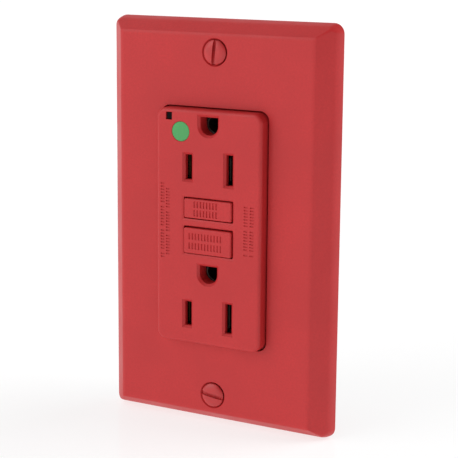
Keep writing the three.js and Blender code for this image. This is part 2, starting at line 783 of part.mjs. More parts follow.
// A strip along one side with a two-leaf clip behind each slot and a leg to its fixed rivet.
function faceContact(side) {
  const { innerLeaf, outerLeaf, leafY, webY, halfHeight, spineX, spineY, spineZ, bridgeY, legBack } = CLIP;
  const legX = around(RIVET.hotX, RIVET.legHalfWidth);
  const legZ = around(RIVET.z, RIVET.halfHeight);
  const pieces = [
    block(onSide(side, spineX), spineY, spineZ),
    block(onSide(side, [legX[0], spineX[1]]), bridgeY, legZ),
    block(onSide(side, legX), [bridgeY[0], legBack], legZ),
    rod("y", RIVET_HEAD.radius, RIVET_HEAD.fixed, [side * RIVET.hotX, 0, RIVET.z]),
  ];
  for (const line of OUTLET.slotLines) {
    const height = around(line, halfHeight);
    pieces.push(block(onSide(side, innerLeaf), leafY, height));
    pieces.push(block(onSide(side, outerLeaf), leafY, height));
    pieces.push(block(onSide(side, [innerLeaf[0], outerLeaf[1]]), webY, height));
    pieces.push(block(onSide(side, [outerLeaf[0], spineX[1]]), bridgeY, height));
  }
  return union(pieces);
}

place("upper_ground_contact", nickelBrass, groundContact(OUTLET.groundCentres[0], GROUND_TAB.upperZ));
place("lower_ground_contact", nickelBrass, groundContact(OUTLET.groundCentres[1], GROUND_TAB.lowerZ));
for (const { side, pole, metal } of SIDES) {
  place(`${pole}_face_contact`, metal, faceContact(side));
}

// ---------------------------------------------------------------- Divider
function middleHousing() {
  const { y, barrierX, barrierFront, barrierZ, contactWindowX, contactWindowHalfHeight, lensNotch } = DIVIDER;
  const through = past(y);
  const solids = [
    block(around(0, DIVIDER.halfWidth), y, around(0, DIVIDER.halfHeight)),
    block(around(0, DIVIDER.endHalfWidth), y, around(0, DIVIDER.endHalfHeight)),
    block(LEAF_POST.x, [LEAF_POST.front, y[1]], LEAF_POST.z),
    ...SIDES.map(({ side }) => block(onSide(side, barrierX), [barrierFront, y[1]], barrierZ)),
  ];
  const openings = [
    rod("y", PIN.radius + GAP, through, [0, 0, RESET.z]),
    rod("y", TEST_PIN.holeRadius, through, [0, 0, TEST_PIN.z]),
    block(lensNotch.x, through, lensNotch.z),
    ...SIDES.map(({ side }) =>
      block(onSide(side, contactWindowX), through, around(RIVET.z, contactWindowHalfHeight)),
    ),
  ];
  return cut(union(solids), openings);
}

place("middle_housing", blackPlastic, middleHousing());

// ---------------------------------------------------------------- Rear housing and case screws
function bodyCavities() {
  const { y, frontDepth, wideHalfWidth, narrowHalfWidth, cavityHalfHeight, cavityBack, endHalfWidth } = BODY;
  const mouth = y[0] - RUN;
  const wide = around(0, wideHalfWidth);
  const tall = around(0, cavityHalfHeight);
  const deep = [mouth, cavityBack];
  return [
    block(around(0, BODY.postX), [mouth, frontDepth], tall),
    block(wide, [mouth, frontDepth], around(0, BODY.wideHalfHeight)),
    block(around(0, narrowHalfWidth), deep, tall),
    block(wide, deep, around(0, BODY.middleHalfHeight)),
    block(around(0, endHalfWidth), deep, [BODY.endFrom, cavityHalfHeight]),
    block(around(0, endHalfWidth), deep, [-cavityHalfHeight, -BODY.endFrom]),
  ];
}

// The side pocket of one terminal, the slit for its neck and its two rear wire holes.
function terminalPocket({ side, end }) {
  const { z, pocketX, pocketY, pocketHalfHeight, plateX, neckHalfHeight, wireHole } = TERMINAL;
  const centreZ = end * z;
  const slitY = [BODY.frontDepth - RUN, pocketY[0] + RUN];
  return union([
    block(onSide(side, pocketX), pocketY, around(centreZ, pocketHalfHeight)),
    block(onSide(side, past(plateX, GAP)), slitY, around(centreZ, neckHalfHeight + GAP)),
    ...[-1, 1].map((row) => rod(
      "y",
      wireHole.radius,
      [pocketY[1] - RUN, BODY.y[1] + RUN],
      [side * wireHole.x, 0, centreZ + row * wireHole.spread],
    )),
  ]);
}

function caseScrewHole({ side, end }) {
  const { x, z, radius, headRadius, headBack, headDepth } = CASE_SCREW;
  const centre = [side * x, 0, end * z];
  const counterbore = rod("y", headRadius + GAP, [headBack - headDepth - GAP, BODY.y[1] + RUN], centre, 16);
  return rod("y", radius + GAP, past(BODY.y), centre).add(counterbore);
}

function backBody() {
  const { y, halfWidth, halfHeight, edge, cornerRadius, groundRelief } = BODY;
  const ring = roundedRing(halfWidth, halfHeight, cornerRadius);
  const shell = lofted([
    { ring: roundedRing(halfWidth - edge, halfHeight - edge, cornerRadius - edge), y: y[1] },
    { ring, y: y[1] - edge },
    { ring, y: y[0] },
  ]);
  const relief = block(
    around(GROUND_SCREW.x, groundRelief.halfWidth),
    around(GROUND_SCREW.y, groundRelief.halfWidth),
    [-halfHeight - RUN, -halfHeight + groundRelief.depth],
  );
  const pockets = CORNERS.map(terminalPocket);
  const screwHoles = CORNERS.map(caseScrewHole);
  return cut(shell, [...bodyCavities(), ...pockets, ...screwHoles, relief]);
}

function caseScrew() {
  const { radius, headRadius, headBack, headDepth, tip } = CASE_SCREW;
  const headFront = headBack - headDepth;
  const edge = 0.4;
  const screw = turned("y", [
    [radius - 0.6, tip],
    [radius, tip + 1],
    [radius, headFront - 0.01],
    [headRadius, headFront],
    [headRadius, headBack - edge],
    [headRadius - edge, headBack],
  ]);
  const { halfWidth, reach, depth } = CROSS_SOCKET;
  const socketY = [headBack - depth, headBack + RUN];
  return cut(screw, [
    block(around(0, reach), socketY, around(0, halfWidth)),
    block(around(0, halfWidth), socketY, around(0, reach)),
  ]);
}

place("back_body", blackPlastic, backBody());
CORNERS.forEach(({ side, end }, index) => {
  place(`case_screw_${index + 1}`, zincSteel, caseScrew(), [side * CASE_SCREW.x, 0, end * CASE_SCREW.z]);
});

// ---------------------------------------------------------------- Wire terminals
// The load terminals are at the top and the line terminals are at the bottom.
function terminalPlate({ side, end }) {
  const { z, plateX, plateY, plateHalfHeight, neckHalfHeight, tabY, screwY } = TERMINAL;
  const centreZ = end * z;
  const neckZ = around(centreZ, neckHalfHeight);
  const tail = end > 0 ? loadTail(side, neckZ) : lineTail(side, neckZ);
  const plate = union([
    block(onSide(side, plateX), plateY, around(centreZ, plateHalfHeight)),
    block(onSide(side, plateX), [tabY[0], plateY[0] + RUN], neckZ),
    tail,
  ]);
  return plate.subtract(rod("x", THREAD_HOLE, onSide(side, past(plateX)), [0, screwY, centreZ]));
}

// From the load terminal along the divider to the fixed rivet beside the contact arm.
function loadTail(side, neckZ) {
  const { plateX, tabY } = TERMINAL;
  const strip = around(RIVET.loadX, RIVET.stripHalfWidth);
  return union([
    block(onSide(side, [strip[0], plateX[1]]), tabY, neckZ),
    block(onSide(side, strip), tabY, [RIVET.z - RIVET.halfHeight, neckZ[1]]),
    rod("y", RIVET.stripHalfWidth, [tabY[0], RIVET_HEAD.fixed[1]], [side * RIVET.loadX, 0, RIVET.z]),
  ]);
}

// From the line terminal back to the circuit board.
function lineTail(side, neckZ) {
  const { z, plateX, tabY, prongX, prongHalfHeight } = TERMINAL;
  return union([
    block(onSide(side, [prongX[0], plateX[1]]), tabY, neckZ),
    block(onSide(side, prongX), [tabY[0], BOARD.y[0] - GAP], around(-z, prongHalfHeight)),
  ]);
}

function clampPlate({ side, end }) {
  const { z, clampX, clampY, clampHalfHeight, screwY } = TERMINAL;
  const body = block(onSide(side, clampX), clampY, around(end * z, clampHalfHeight));
  return body.subtract(rod("x", THREAD_HOLE, onSide(side, past(clampX)), [0, screwY, end * z]));
}

for (const { side, pole, metal } of SIDES) {
  for (const { end } of ENDS) {
    const circuit = end > 0 ? "load" : "line";
    const headSeat = [side * (TERMINAL.plateX[1] + GAP), TERMINAL.screwY, end * TERMINAL.z];
    place(`${circuit}_${pole}_terminal`, metal, terminalPlate({ side, end }));
    place(`${circuit}_${pole}_clamp`, zincSteel, clampPlate({ side, end }));
    const outward = [0, 0, (side * Math.PI) / 2];
    place(`${circuit}_${pole}_screw`, metal, slottedScrew(TERMINAL_SCREW), headSeat, outward);
  }
}

// ---------------------------------------------------------------- Trip mechanism
function contactLifter() {
  const { y, halfWidth, z, wingX, wingY, wingZ } = LIFTER;
  const body = block(around(0, halfWidth), y, z).add(block(around(0, wingX), wingY, wingZ));
  const latchSlot = block(around(0, LATCH.halfWidth + GAP), past(LATCH.y, GAP), past(z));
  const bore = rod("y", PIN.radius + GAP, past(y), [0, 0, RESET.z]);
  return cut(body, [latchSlot, bore]);
}

function latchPlate() {
  const { y, halfWidth, z, legZ, legBack, travel, forkHalfWidth, forkFront } = LATCH;
  const pinRoom = PIN.radius + GAP;
  const width = around(0, halfWidth);
  const plate = block(width, y, z).add(block(width, [y[0], legBack], legZ));
  const keyhole = block(around(0, pinRoom), past(y), [RESET.z - pinRoom, RESET.z + pinRoom + travel]);
  const fork = block(around(0, forkHalfWidth), [forkFront, legBack + RUN], past(legZ));
  return cut(plate, [keyhole, fork]);
}

function contactArm(side) {
  const { y, z, beamX, padX, padTop } = ARM;
  return union([
    block(onSide(side, beamX), y, z),
    block(onSide(side, padX), y, [z[0], padTop]),
    ...[RIVET.hotX, RIVET.loadX].map((x) =>
      rod("y", RIVET_HEAD.radius, RIVET_HEAD.moving, [side * x, 0, RIVET.z]),
    ),
  ]);
}

// From the fixed end of a contact arm through the transformers to the circuit board.
function lineBus(side) {
  const { x, footX, halfHeight } = BUS;
  const height = around(TRANSFORMER.z, halfHeight);
  const conductor = block(onSide(side, x), [ARM.y[0], BOARD.y[0] - GAP], height);
  return conductor.add(block(onSide(side, footX), ARM.y, [ARM.z[1] + GAP, height[1]]));
}

place("contact_lifter", whitePlastic, contactLifter());
place("latch_plate", springSteel, latchPlate());
for (const { side, pole } of SIDES) {
  place(`${pole}_contact_arm`, copper, contactArm(side));
  place(`${pole}_line_bus`, copper, lineBus(side));
}

// ---------------------------------------------------------------- Solenoid
function solenoidBobbin() {
  const { y, z, flange, flangeRadius, hubRadius, boreRadius } = SOLENOID;
  const flanges = [[z[0], z[0] + flange], [z[1] - flange, z[1]]];
  const spool = turned("z", [
    [flangeRadius, flanges[0][0]],
    [flangeRadius, flanges[0][1]],
    [hubRadius, flanges[0][1]],
    [hubRadius, flanges[1][0]],
    [flangeRadius, flanges[1][0]],
    [flangeRadius, flanges[1][1]],
  ], [0, y, 0], 20);
  const footY = [y + hubRadius, BOARD.y[0] - GAP];
  const feet = flanges.map((span) => block(around(0, SOLENOID_FOOT), footY, span));
  return union([spool, ...feet]).subtract(rod("z", boreRadius, past(z), [0, y, 0]));
}

function solenoidYoke() {
  const { y, z, boreRadius } = SOLENOID;
  const { halfWidth, sheet: thickness } = YOKE;
  const width = around(0, halfWidth);
  const upper = [z[1] + GAP, z[1] + GAP + thickness];
  const lower = [z[0] - GAP - thickness, z[0] - GAP];
  const frame = union([
    block(width, YOKE.y, upper),
    block(width, YOKE.y, lower),
    block(width, [YOKE.y[0], YOKE.y[0] + thickness], [lower[0], upper[1]]),
  ]);
  return frame.subtract(rod("z", boreRadius, past(upper), [0, y, 0]));
}

const solenoidAxis = [0, SOLENOID.y, 0];
const windingSpan = past(SOLENOID.z, -WINDING.inset);
place("solenoid_bobbin", whitePlastic, solenoidBobbin());
place(
  "solenoid_winding",
  copper,
  tube("z", [SOLENOID.hubRadius + GAP, WINDING.outer], windingSpan, solenoidAxis, 20),
);
place("solenoid_yoke", zincSteel, solenoidYoke());
place("solenoid_plunger", springSteel, turned("z", PLUNGER, solenoidAxis));
place("plunger_spring", springSteel, coilSpring("z", PLUNGER_SPRING, PLUNGER_SPRING.z, solenoidAxis));

// ---------------------------------------------------------------- Circuit board and its parts
function circuitBoard() {
  const { y, halfWidth, halfHeight, wingX, wingZ, ledX, ledZ } = BOARD;
  return union([
    block(around(0, halfWidth), y, around(0, halfHeight)),
    block(around(0, wingX), y, around(0, wingZ)),
    block([ledX, halfWidth], y, [ledZ, halfHeight]),
  ]);
}

// A round shell with a trough for the two cores, open at the front, and feet on the board.
function transformerHousing() {
  const { z, shell, shellY, trough, troughBack, bore, footX, footHalfHeight } = TRANSFORMER;
  const centre = [0, 0, z];
  const feet = SIDES.map(({ side }) =>
    block(onSide(side, footX), [shellY[1] - RUN, BOARD.y[0] - GAP], around(z, footHalfHeight)),
  );
  return cut(union([rod("y", shell, shellY, centre, LARGE), ...feet]), [
    tube("y", trough, [shellY[0] - RUN, troughBack], centre, LARGE),
    rod("y", bore, past(shellY), centre, LARGE),
  ]);
}

function transformerCore(y) {
  return tube("y", TRANSFORMER.core, y, [0, 0, TRANSFORMER.z], LARGE);
}

// A straight wire lead from a component to the board.
function lead(x, front, z, radius = LEAD_RADIUS) {
  return rod("y", radius, [front, BOARD.y[0] - GAP], [x, 0, z], 8);
}

function surgeSuppressor() {
  const { profile, y, leadX, leadFront, leadZ } = VARISTOR;
  return union([turned("x", profile, [0, y, 0], 20), ...leadZ.map((z) => lead(leadX, leadFront, z))]);
}

function filterCapacitor() {
  const { x, y, z, leadX, leadZ } = CAPACITOR;
  return union([block(x, y, z), ...leadZ.map((height) => lead(leadX, y[1] - RUN, height))]);
}

function controlChip() {
  const { x, y, z, legX, legY, legZ, legHalfHeight } = CHIP;
  const legs = SIDES.flatMap(({ side }) =>
    legZ.map((height) => block(onSide(side, legX), legY, around(height, legHalfHeight))),
  );
  return union([block(x, y, z), ...legs]);
}

function testResistor() {
  const { profile, centre, wireRadius, wireReach, legReach } = RESISTOR;
  const [x, y, z] = centre;
  return union([
    turned("z", profile, centre),
    rod("z", wireRadius, around(0, wireReach), centre, 8),
    ...[-1, 1].map((end) => lead(x, y - wireRadius, z + end * legReach, wireRadius)),
  ]);
}

function statusLed() {
  return block(around(INDICATOR.x, LED.halfWidth), [LED.front, BOARD.y[0] - GAP], LED.z);
}

place("circuit_board", laminate, circuitBoard());
place("transformer_housing", greyPlastic, transformerHousing());
place("sense_transformer_core", ferrite, transformerCore(TRANSFORMER.senseY));
place("neutral_transformer_core", ferrite, transformerCore(TRANSFORMER.neutralY));
place("surge_suppressor", blueResin, surgeSuppressor());
place("filter_capacitor", tanResin, filterCapacitor());
place("control_chip", blackPlastic, controlChip());
place("test_resistor", tanResin, testResistor());
place("status_led", whitePlastic, statusLed());

export default root;
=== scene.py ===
# A red ground-fault duplex receptacle in its wall plate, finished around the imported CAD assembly.
# Sizes are millimetres in the names and tables below, and metres once they reach Blender.
# Seen from the front, X points right, Y points into the wall and Z points up; the front faces -Y.
import json
import math

import bmesh
import bpy
from mathutils import Matrix, Quaternion, Vector


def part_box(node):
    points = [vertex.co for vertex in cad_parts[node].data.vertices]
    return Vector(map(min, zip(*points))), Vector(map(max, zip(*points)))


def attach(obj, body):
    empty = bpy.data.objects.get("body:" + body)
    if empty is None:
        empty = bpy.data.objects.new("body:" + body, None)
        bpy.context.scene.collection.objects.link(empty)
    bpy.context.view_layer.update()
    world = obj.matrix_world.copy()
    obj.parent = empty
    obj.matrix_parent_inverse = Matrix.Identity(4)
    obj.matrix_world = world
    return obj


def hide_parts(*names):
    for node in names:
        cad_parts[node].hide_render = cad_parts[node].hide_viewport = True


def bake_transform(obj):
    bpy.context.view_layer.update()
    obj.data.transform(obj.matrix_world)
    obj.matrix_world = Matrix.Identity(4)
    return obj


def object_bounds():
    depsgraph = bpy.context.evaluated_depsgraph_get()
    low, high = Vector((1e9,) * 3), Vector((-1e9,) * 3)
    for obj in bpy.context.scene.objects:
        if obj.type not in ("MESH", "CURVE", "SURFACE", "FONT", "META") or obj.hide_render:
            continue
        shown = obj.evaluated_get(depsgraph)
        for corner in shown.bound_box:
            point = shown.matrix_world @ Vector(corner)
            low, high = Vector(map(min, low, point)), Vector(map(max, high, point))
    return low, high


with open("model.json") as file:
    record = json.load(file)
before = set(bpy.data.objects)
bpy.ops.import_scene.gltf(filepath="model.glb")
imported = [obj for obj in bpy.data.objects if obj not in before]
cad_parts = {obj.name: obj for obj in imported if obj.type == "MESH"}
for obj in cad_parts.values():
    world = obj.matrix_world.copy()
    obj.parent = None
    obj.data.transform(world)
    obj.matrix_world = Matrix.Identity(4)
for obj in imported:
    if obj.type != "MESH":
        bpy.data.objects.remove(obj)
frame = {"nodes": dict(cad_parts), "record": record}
cad_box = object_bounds()

MM = 0.001
NODES = frame["nodes"]
RECORD = frame["record"]
BODY_OF = {node: body for body, nodes in RECORD["behaviour"]["bodies"].items() for node in nodes}
SLOT_OF = {entry["node"]: entry["material_slot"] for entry in RECORD["subparts"]}

# ---------------------------------------------------------------- Driving dimensions, in mm
CORNER_STEPS = 8
EDGE_STEPS = 6
ROUND_SIDES = 64
RUN = 0.5  # how far a cutter runs past the face that it opens
PROUD = 0.01  # how far a bevelled cutter stands out of the face, so that it leaves no skin
EDGE_WIDTHS = {"plate": 0.09, "face": 0.12, "button": 0.07, "marker": 0.03, "screw": 0.08, "cad": 0.08}
WELD_DISTANCE = 0.004
PILLOW_SHARPEST = 0.15  # smallest corner radius on a rounded front edge
GROUND_STEPS = 24
DASH_STEPS = 3
SHARP_STEPS = 2
ENDS = (("top", 1), ("bottom", -1))
POLES = (("hot", -1), ("neutral", 1))
CIRCUITS = ("load", "line")

# Wall plate sections: half width, half height, corner radius and y, from the wall forward.
PLATE_OUTSIDE = (
    (34.925, 57.15, 2.9, 0.0),
    (34.6, 56.9, 2.6, -1.4),
    (34.1, 56.55, 2.2, -2.7),
    (33.6, 56.25, 1.7, -3.4),
    (32.9, 55.8, 0.7, -4.05),
    (30.2, 53.8, 0.2, -6.75),
    (29.8, 53.45, 0.2, -6.95),
    (28.8, 52.6, 0.2, -7.1),
)
PLATE_INSIDE = (
    (33.0, 55.2, 1.4, 0.5),
    (32.7, 54.9, 1.3, -2.0),
    (28.6, 51.8, 0.6, -4.8),
)
PLATE_FRONT = -7.1
PLATE_WINDOW = (16.7, 33.4, 2.7)
SCREW_Z = 48.42
SEAT_RADIUS = 3.9
SEAT_DEPTH = 2.5
SCREW_HOLE_RADIUS = 2.0
BOSS_RADIUS = 2.9
BOSS_Y = (-5.1, -1.6)

# Raised device face, its flange behind the plate and its hollow back.
FACE_HALF = (16.3, 33.0)
FACE_CORNER = 2.7
FACE_EDGE = 1.1
FACE_FRONT = -10.5
FACE_INNER = -8.5
FLANGE = (21.0, 34.4, 1.5)
FLANGE_Y = (-4.4, -1.6)
HOLLOW_HALF = (14.3, 31.0)
COLLAR_RADIUS = 3.9
COLLAR_BACK = -6.2
SLEEVE_RADIUS = 3.2

# Openings in the face. The hot slot is the short one, on -X.
SLOT_LINES = (16.95, -24.6)
SLOT_X = 6.35
SLOT_HALF_WIDTH = 1.02
SLOT_HALF_HEIGHTS = {-1: 3.48, 1: 4.22}
BEVEL = 0.68
SHARP_CORNER = 0.08
GROUND_CENTRES = (28.8, -12.65)
GROUND_RADIUS = 2.74
GROUND_FLAT = 2.25
WINDOW = {"x": -12.3, "z": 30.8, "half": (0.98, 1.08)}
MARKER = {"x": -8.6, "z": 26.7, "radius": 2.7, "depth": 0.75, "edge": 0.12}
MARKER_POCKET = {"radius": 2.8, "depth": 1.0}
WELL_HALF_WIDTH = 7.7
WELL_RADIUS = 0.35
WELL_BEVEL_DEPTH = 0.35
LENS_PASSAGE_HALF = 1.4
CASE_SCREW_HOLE = {"x": 17.2, "z": 30.2, "radius": 1.8, "front": -3.9}

# Push buttons.
BUTTONS = {
    "test_button": {"z": 5.575, "half_height": 2.725, "well_z": 5.575, "well_half": 3.045, "proud": 0.25},
    "reset_button": {"z": -3.5, "half_height": 3.6, "well_z": -3.425, "well_half": 3.925, "proud": 0.35},
}
CAP_HALF_WIDTH = 7.4
CAP_CORNER = 0.5
CAP_EDGE = 0.45
CAP_LIP = 0.8
CAP_FLANGE_Y = (-6.5, -5.7)
STEM = {"radius": 1.2, "back": -4.7}
SPRING_POCKET = {"radius": 3.0, "front": -7.7}

# Engraved dashes that stand in for the printed words.
DASH_DEPTH = 0.24
DASH_CORNER = 0.12
DASH_X = -0.6
BUTTON_DASH_HALF = (0.24, 0.92)
BUTTON_DASHES = {
    "test_button": {"count": 8, "pitch": 0.98, "rows": (6.8, 4.4)},
    "reset_button": {"count": 11, "pitch": 0.98, "rows": (-2.2, -4.9)},
}
COLUMN_DASH_HALF = (0.6, 0.2)
COLUMN_PITCH = 0.85
COLUMN_WORD = 7  # dashes before each wider gap
COLUMN_GAP = 0.7
COLUMNS = (
    {"x": -14.3, "top": 11.8, "bottom": -9.8},
    {"x": -12.6, "top": 10.4, "bottom": -9.0},
    {"x": 11.75, "top": 7.5, "bottom": -6.6},
    {"x": 13.6, "top": 7.5, "bottom": -6.6},
)

# Slotted screws, made round Y with the head in front. A row is radius and y, and thread is its y range.
SCREWS = {
    "plate_screw": {
        "head": (
            (1.4, -7.75),
            (2.1, -7.66),
            (2.7, -7.5),
            (3.2, -7.25),
            (3.4, -7.05),
            (3.4, -6.9),
            (1.6, -5.1),
        ),
        "thread": (-4.9, 5.2),
        "tip": (1.1, 5.8),
    },
    "mounting_screw": {
        "head": ((2.6, -3.3), (3.05, -3.16), (3.36, -2.95), (3.5, -2.7), (3.5, -1.7), (1.6, -1.6)),
        "thread": (-1.3, 18.4),
        "tip": (1.0, 19.2),
    },
    "terminal_screw": {
        "head": ((3.0, -2.2), (3.28, -2.13), (3.5, -1.95), (3.6, -1.7), (3.6, 0.0), (1.65, 0.01)),
        "thread": (0.3, 4.1),
        "tip": (1.3, 4.5),
    },
    "ground_screw": {
        "head": ((3.1, -2.2), (3.45, -2.13), (3.7, -1.95), (3.8, -1.7), (3.8, 0.0), (1.65, 0.01)),
        "thread": (0.3, 2.0),
        "tip": (1.3, 2.4),
    },
}
THREAD = {"radius": 1.6, "root": 1.32, "pitch": 0.79}
SHANK_START = -5.0  # the plate screws' paint ends here
SCREW_SLOT = {"half_width": 0.5, "depth": 1.0}
SCREW_TURNS = {"top": 5.5, "bottom": 98.0}

# Compression springs, wound from the first end of the span, at the moving piece, to the last end, in the
# housing; each stays where it is wound.
SPRINGS = {
    "reset_spring": {
        "axis": "y",
        "centre": (0.0, 0.0, -3.5),
        "span": (-6.5, 4.1),
        "coil": 2.0,
        "wire": 0.25,
        "turns": 6,
        "mover": "reset_button",
    },
    "plunger_spring": {
        "axis": "z",
        "centre": (0.0, 19.0, 0.0),
        "span": (-10.6, -15.2),
        "coil": 2.65,
        "wire": 0.2,
        "turns": 3,
        "mover": "plunger",
    },
}
SPRING_STEPS = 24  # rings in each turn
SPRING_SIDES = 8
CLOSED_TURNS = 0.75  # at each end of a spring
CLOSED_PITCH = 2.1  # rise of a closed turn, in wire radii

# CAD nodes whose finish isn't their slot's: the coil shows its turns, with painted shade in the grooves
# between them, and the contacts seen inside the slots and ground holes are darkened as painted shade.
SPECIAL_FINISH = {
    "solenoid_winding": "wound_copper",
    "hot_face_contact": "shade_darkened_brass",
    "neutral_face_contact": "shade_darkened_nickel",
    "upper_ground_contact": "shade_darkened_nickel",
    "lower_ground_contact": "shade_darkened_nickel",
}

# Camera fitted to the photograph, in mm and degrees.
CAMERA = {
    "azimuth": 28.292,
    "elevation": 11.18,
    "roll": 0.426,
    "distance": 396.7,
    "target": (-1.532, 0.0, 4.357),
    "lens": 111.056,
    "shift": (0.0177, -0.04665),
}
# Floor rows: radius and height above the floor, so that a low rim hides the horizon.
FLOOR_ROWS = ((5000.0, 0.0), (5500.0, 40.0), (5800.0, 170.0), (5950.0, 400.0), (6000.0, 900.0))
FLOOR_SIDES = 96
FLOOR_PALE = (0.32, 0.32, 0.32, 1.0)
FLOOR_GLOW = 0.78
FLOOR_POLISH = 0.06
WHITE = (1.0, 1.0, 1.0, 1.0)

# Room light: strengths on the side away from its brighter direction and towards it.
ROOM = {"toward": (-0.9, -0.3, -0.3), "strengths": (0.0, 0.61), "range": (-0.55, 0.1)}
# Soft lights: where each comes from, its strength and its width in degrees.
KEY = {"source": (-0.6, -0.7, 0.5), "strength": 0.9, "softness": 50.0}
RIM = {"source": (0.6, 0.5, 0.63), "strength": 2.2, "softness": 50.0}


# ---------------------------------------------------------------- Outlines: points (x, z), anticlockwise
def rounded_rectangle(half_x, half_z, radius, centre=(0.0, 0.0), steps=CORNER_STEPS):
    points = []
    for quarter, (side_x, side_z) in enumerate(((1, 1), (-1, 1), (-1, -1), (1, -1))):
        corner_x = centre[0] + side_x * (half_x - radius)
        corner_z = centre[1] + side_z * (half_z - radius)
        for step in range(steps + 1):
            angle = math.radians(90 * (quarter + step / steps))
            points.append((corner_x + radius * math.cos(angle), corner_z + radius * math.sin(angle)))
    return points


def sharp_rectangle(half_x, half_z, centre=(0.0, 0.0)):
    return rounded_rectangle(half_x, half_z, SHARP_CORNER, centre, steps=SHARP_STEPS)


def ground_outline(grow, z, steps=GROUND_STEPS):
    """Flat on top and half round below, like the opening for a ground pin."""
    radius = GROUND_RADIUS + grow
    top = z + GROUND_FLAT + grow
    points = [(radius, top), (-radius, top)]
    for step in range(steps + 1):
        angle = math.pi * (1 + step / steps)
        points.append((radius * math.cos(angle), z + radius * math.sin(angle)))
    return points


def circle(radius, sides, centre=(0.0, 0.0)):
    turns = [2 * math.pi * side / sides for side in range(sides)]
    return [(centre[0] + radius * math.cos(turn), centre[1] + radius * math.sin(turn)) for turn in turns]


# ---------------------------------------------------------------- Mesh building
def new_object(name, build):
    """An object whose mesh is filled by build(bmesh), which works in mm."""
    mesh = bpy.data.meshes.new(name)
    shape = bmesh.new()
    build(shape)
    bmesh.ops.recalc_face_normals(shape, faces=shape.faces)
    bmesh.ops.scale(shape, vec=(MM, MM, MM), verts=shape.verts)
    shape.to_mesh(mesh)
    shape.free()
    made = bpy.data.objects.new(name, mesh)
    bpy.context.scene.collection.objects.link(made)
    return made


def join_rings(shape, rings):
    """Quads between rings of equal length, each round and closed."""
    count = len(rings[0])
    for lower, upper in zip(rings, rings[1:]):
        for index in range(count):
            following = (index + 1) % count
            shape.faces.new((lower[index], lower[following], upper[following], upper[index]))


def add_loft(shape, layers):
    """A closed skin over outlines of equal length; each layer is (outline, y)."""
    rings = [[shape.verts.new((x, y, z)) for x, z in outline] for outline, y in layers]
    join_rings(shape, rings)
    shape.faces.new(rings[0])
    shape.faces.new(rings[-1])


def loft(name, layers):
    return new_object(name, lambda shape: add_loft(shape, layers))


def prism(name, outline, front, back):
    return loft(name, [(outline, back), (outline, front)])


def turned(name, profile, centre=(0.0, 0.0), sides=ROUND_SIDES):
    """A solid of revolution along Y; a profile row is radius and y."""

    return loft(name, [(circle(radius, sides, centre), y) for radius, y in profile])


def pillow(name, half, corner, edge, front, back, z=0.0):
    """A block with round corners and a rounded front edge."""
    centre = (0.0, z)
    layers = [(rounded_rectangle(half[0], half[1], corner, centre), back)]
    for step in range(EDGE_STEPS + 1):
        angle = math.pi / 2 * step / EDGE_STEPS
        inset = edge * (1 - math.cos(angle))
        radius = max(corner - inset, PILLOW_SHARPEST)
        outline = rounded_rectangle(half[0] - inset, half[1] - inset, radius, centre)
        layers.append((outline, front + edge * (1 - math.sin(angle))))
    return loft(name, layers)


def sheet_of_dashes(name, centres, half, front):
    """Many small rounded cutters in one mesh, one for each dash."""

    def build(shape):
        for centre in centres:
            outline = rounded_rectangle(half[0], half[1], DASH_CORNER, centre, steps=DASH_STEPS)
            add_loft(shape, [(outline, front + DASH_DEPTH), (outline, front - RUN)])

    return new_object(name, build)


def combine(piece, tools, operation):
    """Applies exact booleans with the tools, then removes the tools."""
    for tool in tools:
        step = piece.modifiers.new(operation, "BOOLEAN")
        step.operation = operation
        step.solver = "EXACT"
        step.object = tool
    depsgraph = bpy.context.evaluated_depsgraph_get()
    result = bpy.data.meshes.new_from_object(piece.evaluated_get(depsgraph), depsgraph=depsgraph)
    piece.modifiers.clear()
    piece.data = result
    for tool in tools:
        bpy.data.objects.remove(tool)
    return piece


def clean(piece, flatness=math.radians(0.2)):
    """Joins the coplanar faces that the booleans leave."""
    shape = bmesh.new()
    shape.from_mesh(piece.data)
    bmesh.ops.remove_doubles(shape, verts=shape.verts, dist=0.002 * MM)
    bmesh.ops.dissolve_limit(shape, angle_limit=flatness, verts=shape.verts, edges=shape.edges)
    shape.to_mesh(piece.data)
    shape.free()
    return piece


def soften(piece, width, sharp=math.radians(32), segments=2):
    """Rounds the sharp edges a little and shades the rest smoothly."""
    piece.data.shade_smooth()
    rounded = piece.modifiers.new("edges", "BEVEL")
    rounded.width = width * MM
    rounded.segments = segments
    rounded.limit_method = "ANGLE"
    rounded.angle_limit = sharp
    rounded.use_clamp_overlap = True
    rounded.miter_outer = "MITER_ARC"
    even = piece.modifiers.new("normals", "WEIGHTED_NORMAL")
    even.mode = "FACE_AREA_WITH_ANGLE"
    even.weight = 90
    even.keep_sharp = True
    return piece


# ---------------------------------------------------------------- Node helpers for the materials
def srgb(red, green, blue):
    """Display values from 0 to 255, as linear colour."""

    def linear(value):
        share = value / 255
        return share / 12.92 if share <= 0.04045 else ((share + 0.055) / 1.055) ** 2.4

    return (linear(red), linear(green), linear(blue), 1.0)


def new_material(name, metallic=0.0, roughness=0.5):
    material = bpy.data.materials.new(name)
    material.use_nodes = True
    tree = material.node_tree
    shader = tree.nodes["Principled BSDF"]
    shader.inputs["Metallic"].default_value = metallic
    shader.inputs["Roughness"].default_value = roughness
    return material, tree, shader


def object_position(tree):
    """Position on the piece, in metres, the same in every view."""
    return tree.nodes.new("ShaderNodeTexCoord").outputs["Object"]


def noise(tree, position, per_mm, detail=4.0, roughness=0.55, stretch=(1.0, 1.0, 1.0)):
    """Noise with about per_mm features in each millimetre."""
    scaled = tree.nodes.new("ShaderNodeMapping")
    scaled.inputs["Scale"].default_value = [per_mm / MM * factor for factor in stretch]
    tree.links.new(position, scaled.inputs["Vector"])
    made = tree.nodes.new("ShaderNodeTexNoise")
    made.inputs["Scale"].default_value = 1.0
    made.inputs["Detail"].default_value = detail
    made.inputs["Roughness"].default_value = roughness
    tree.links.new(scaled.outputs["Vector"], made.inputs["Vector"])
    return made.outputs["Fac"]


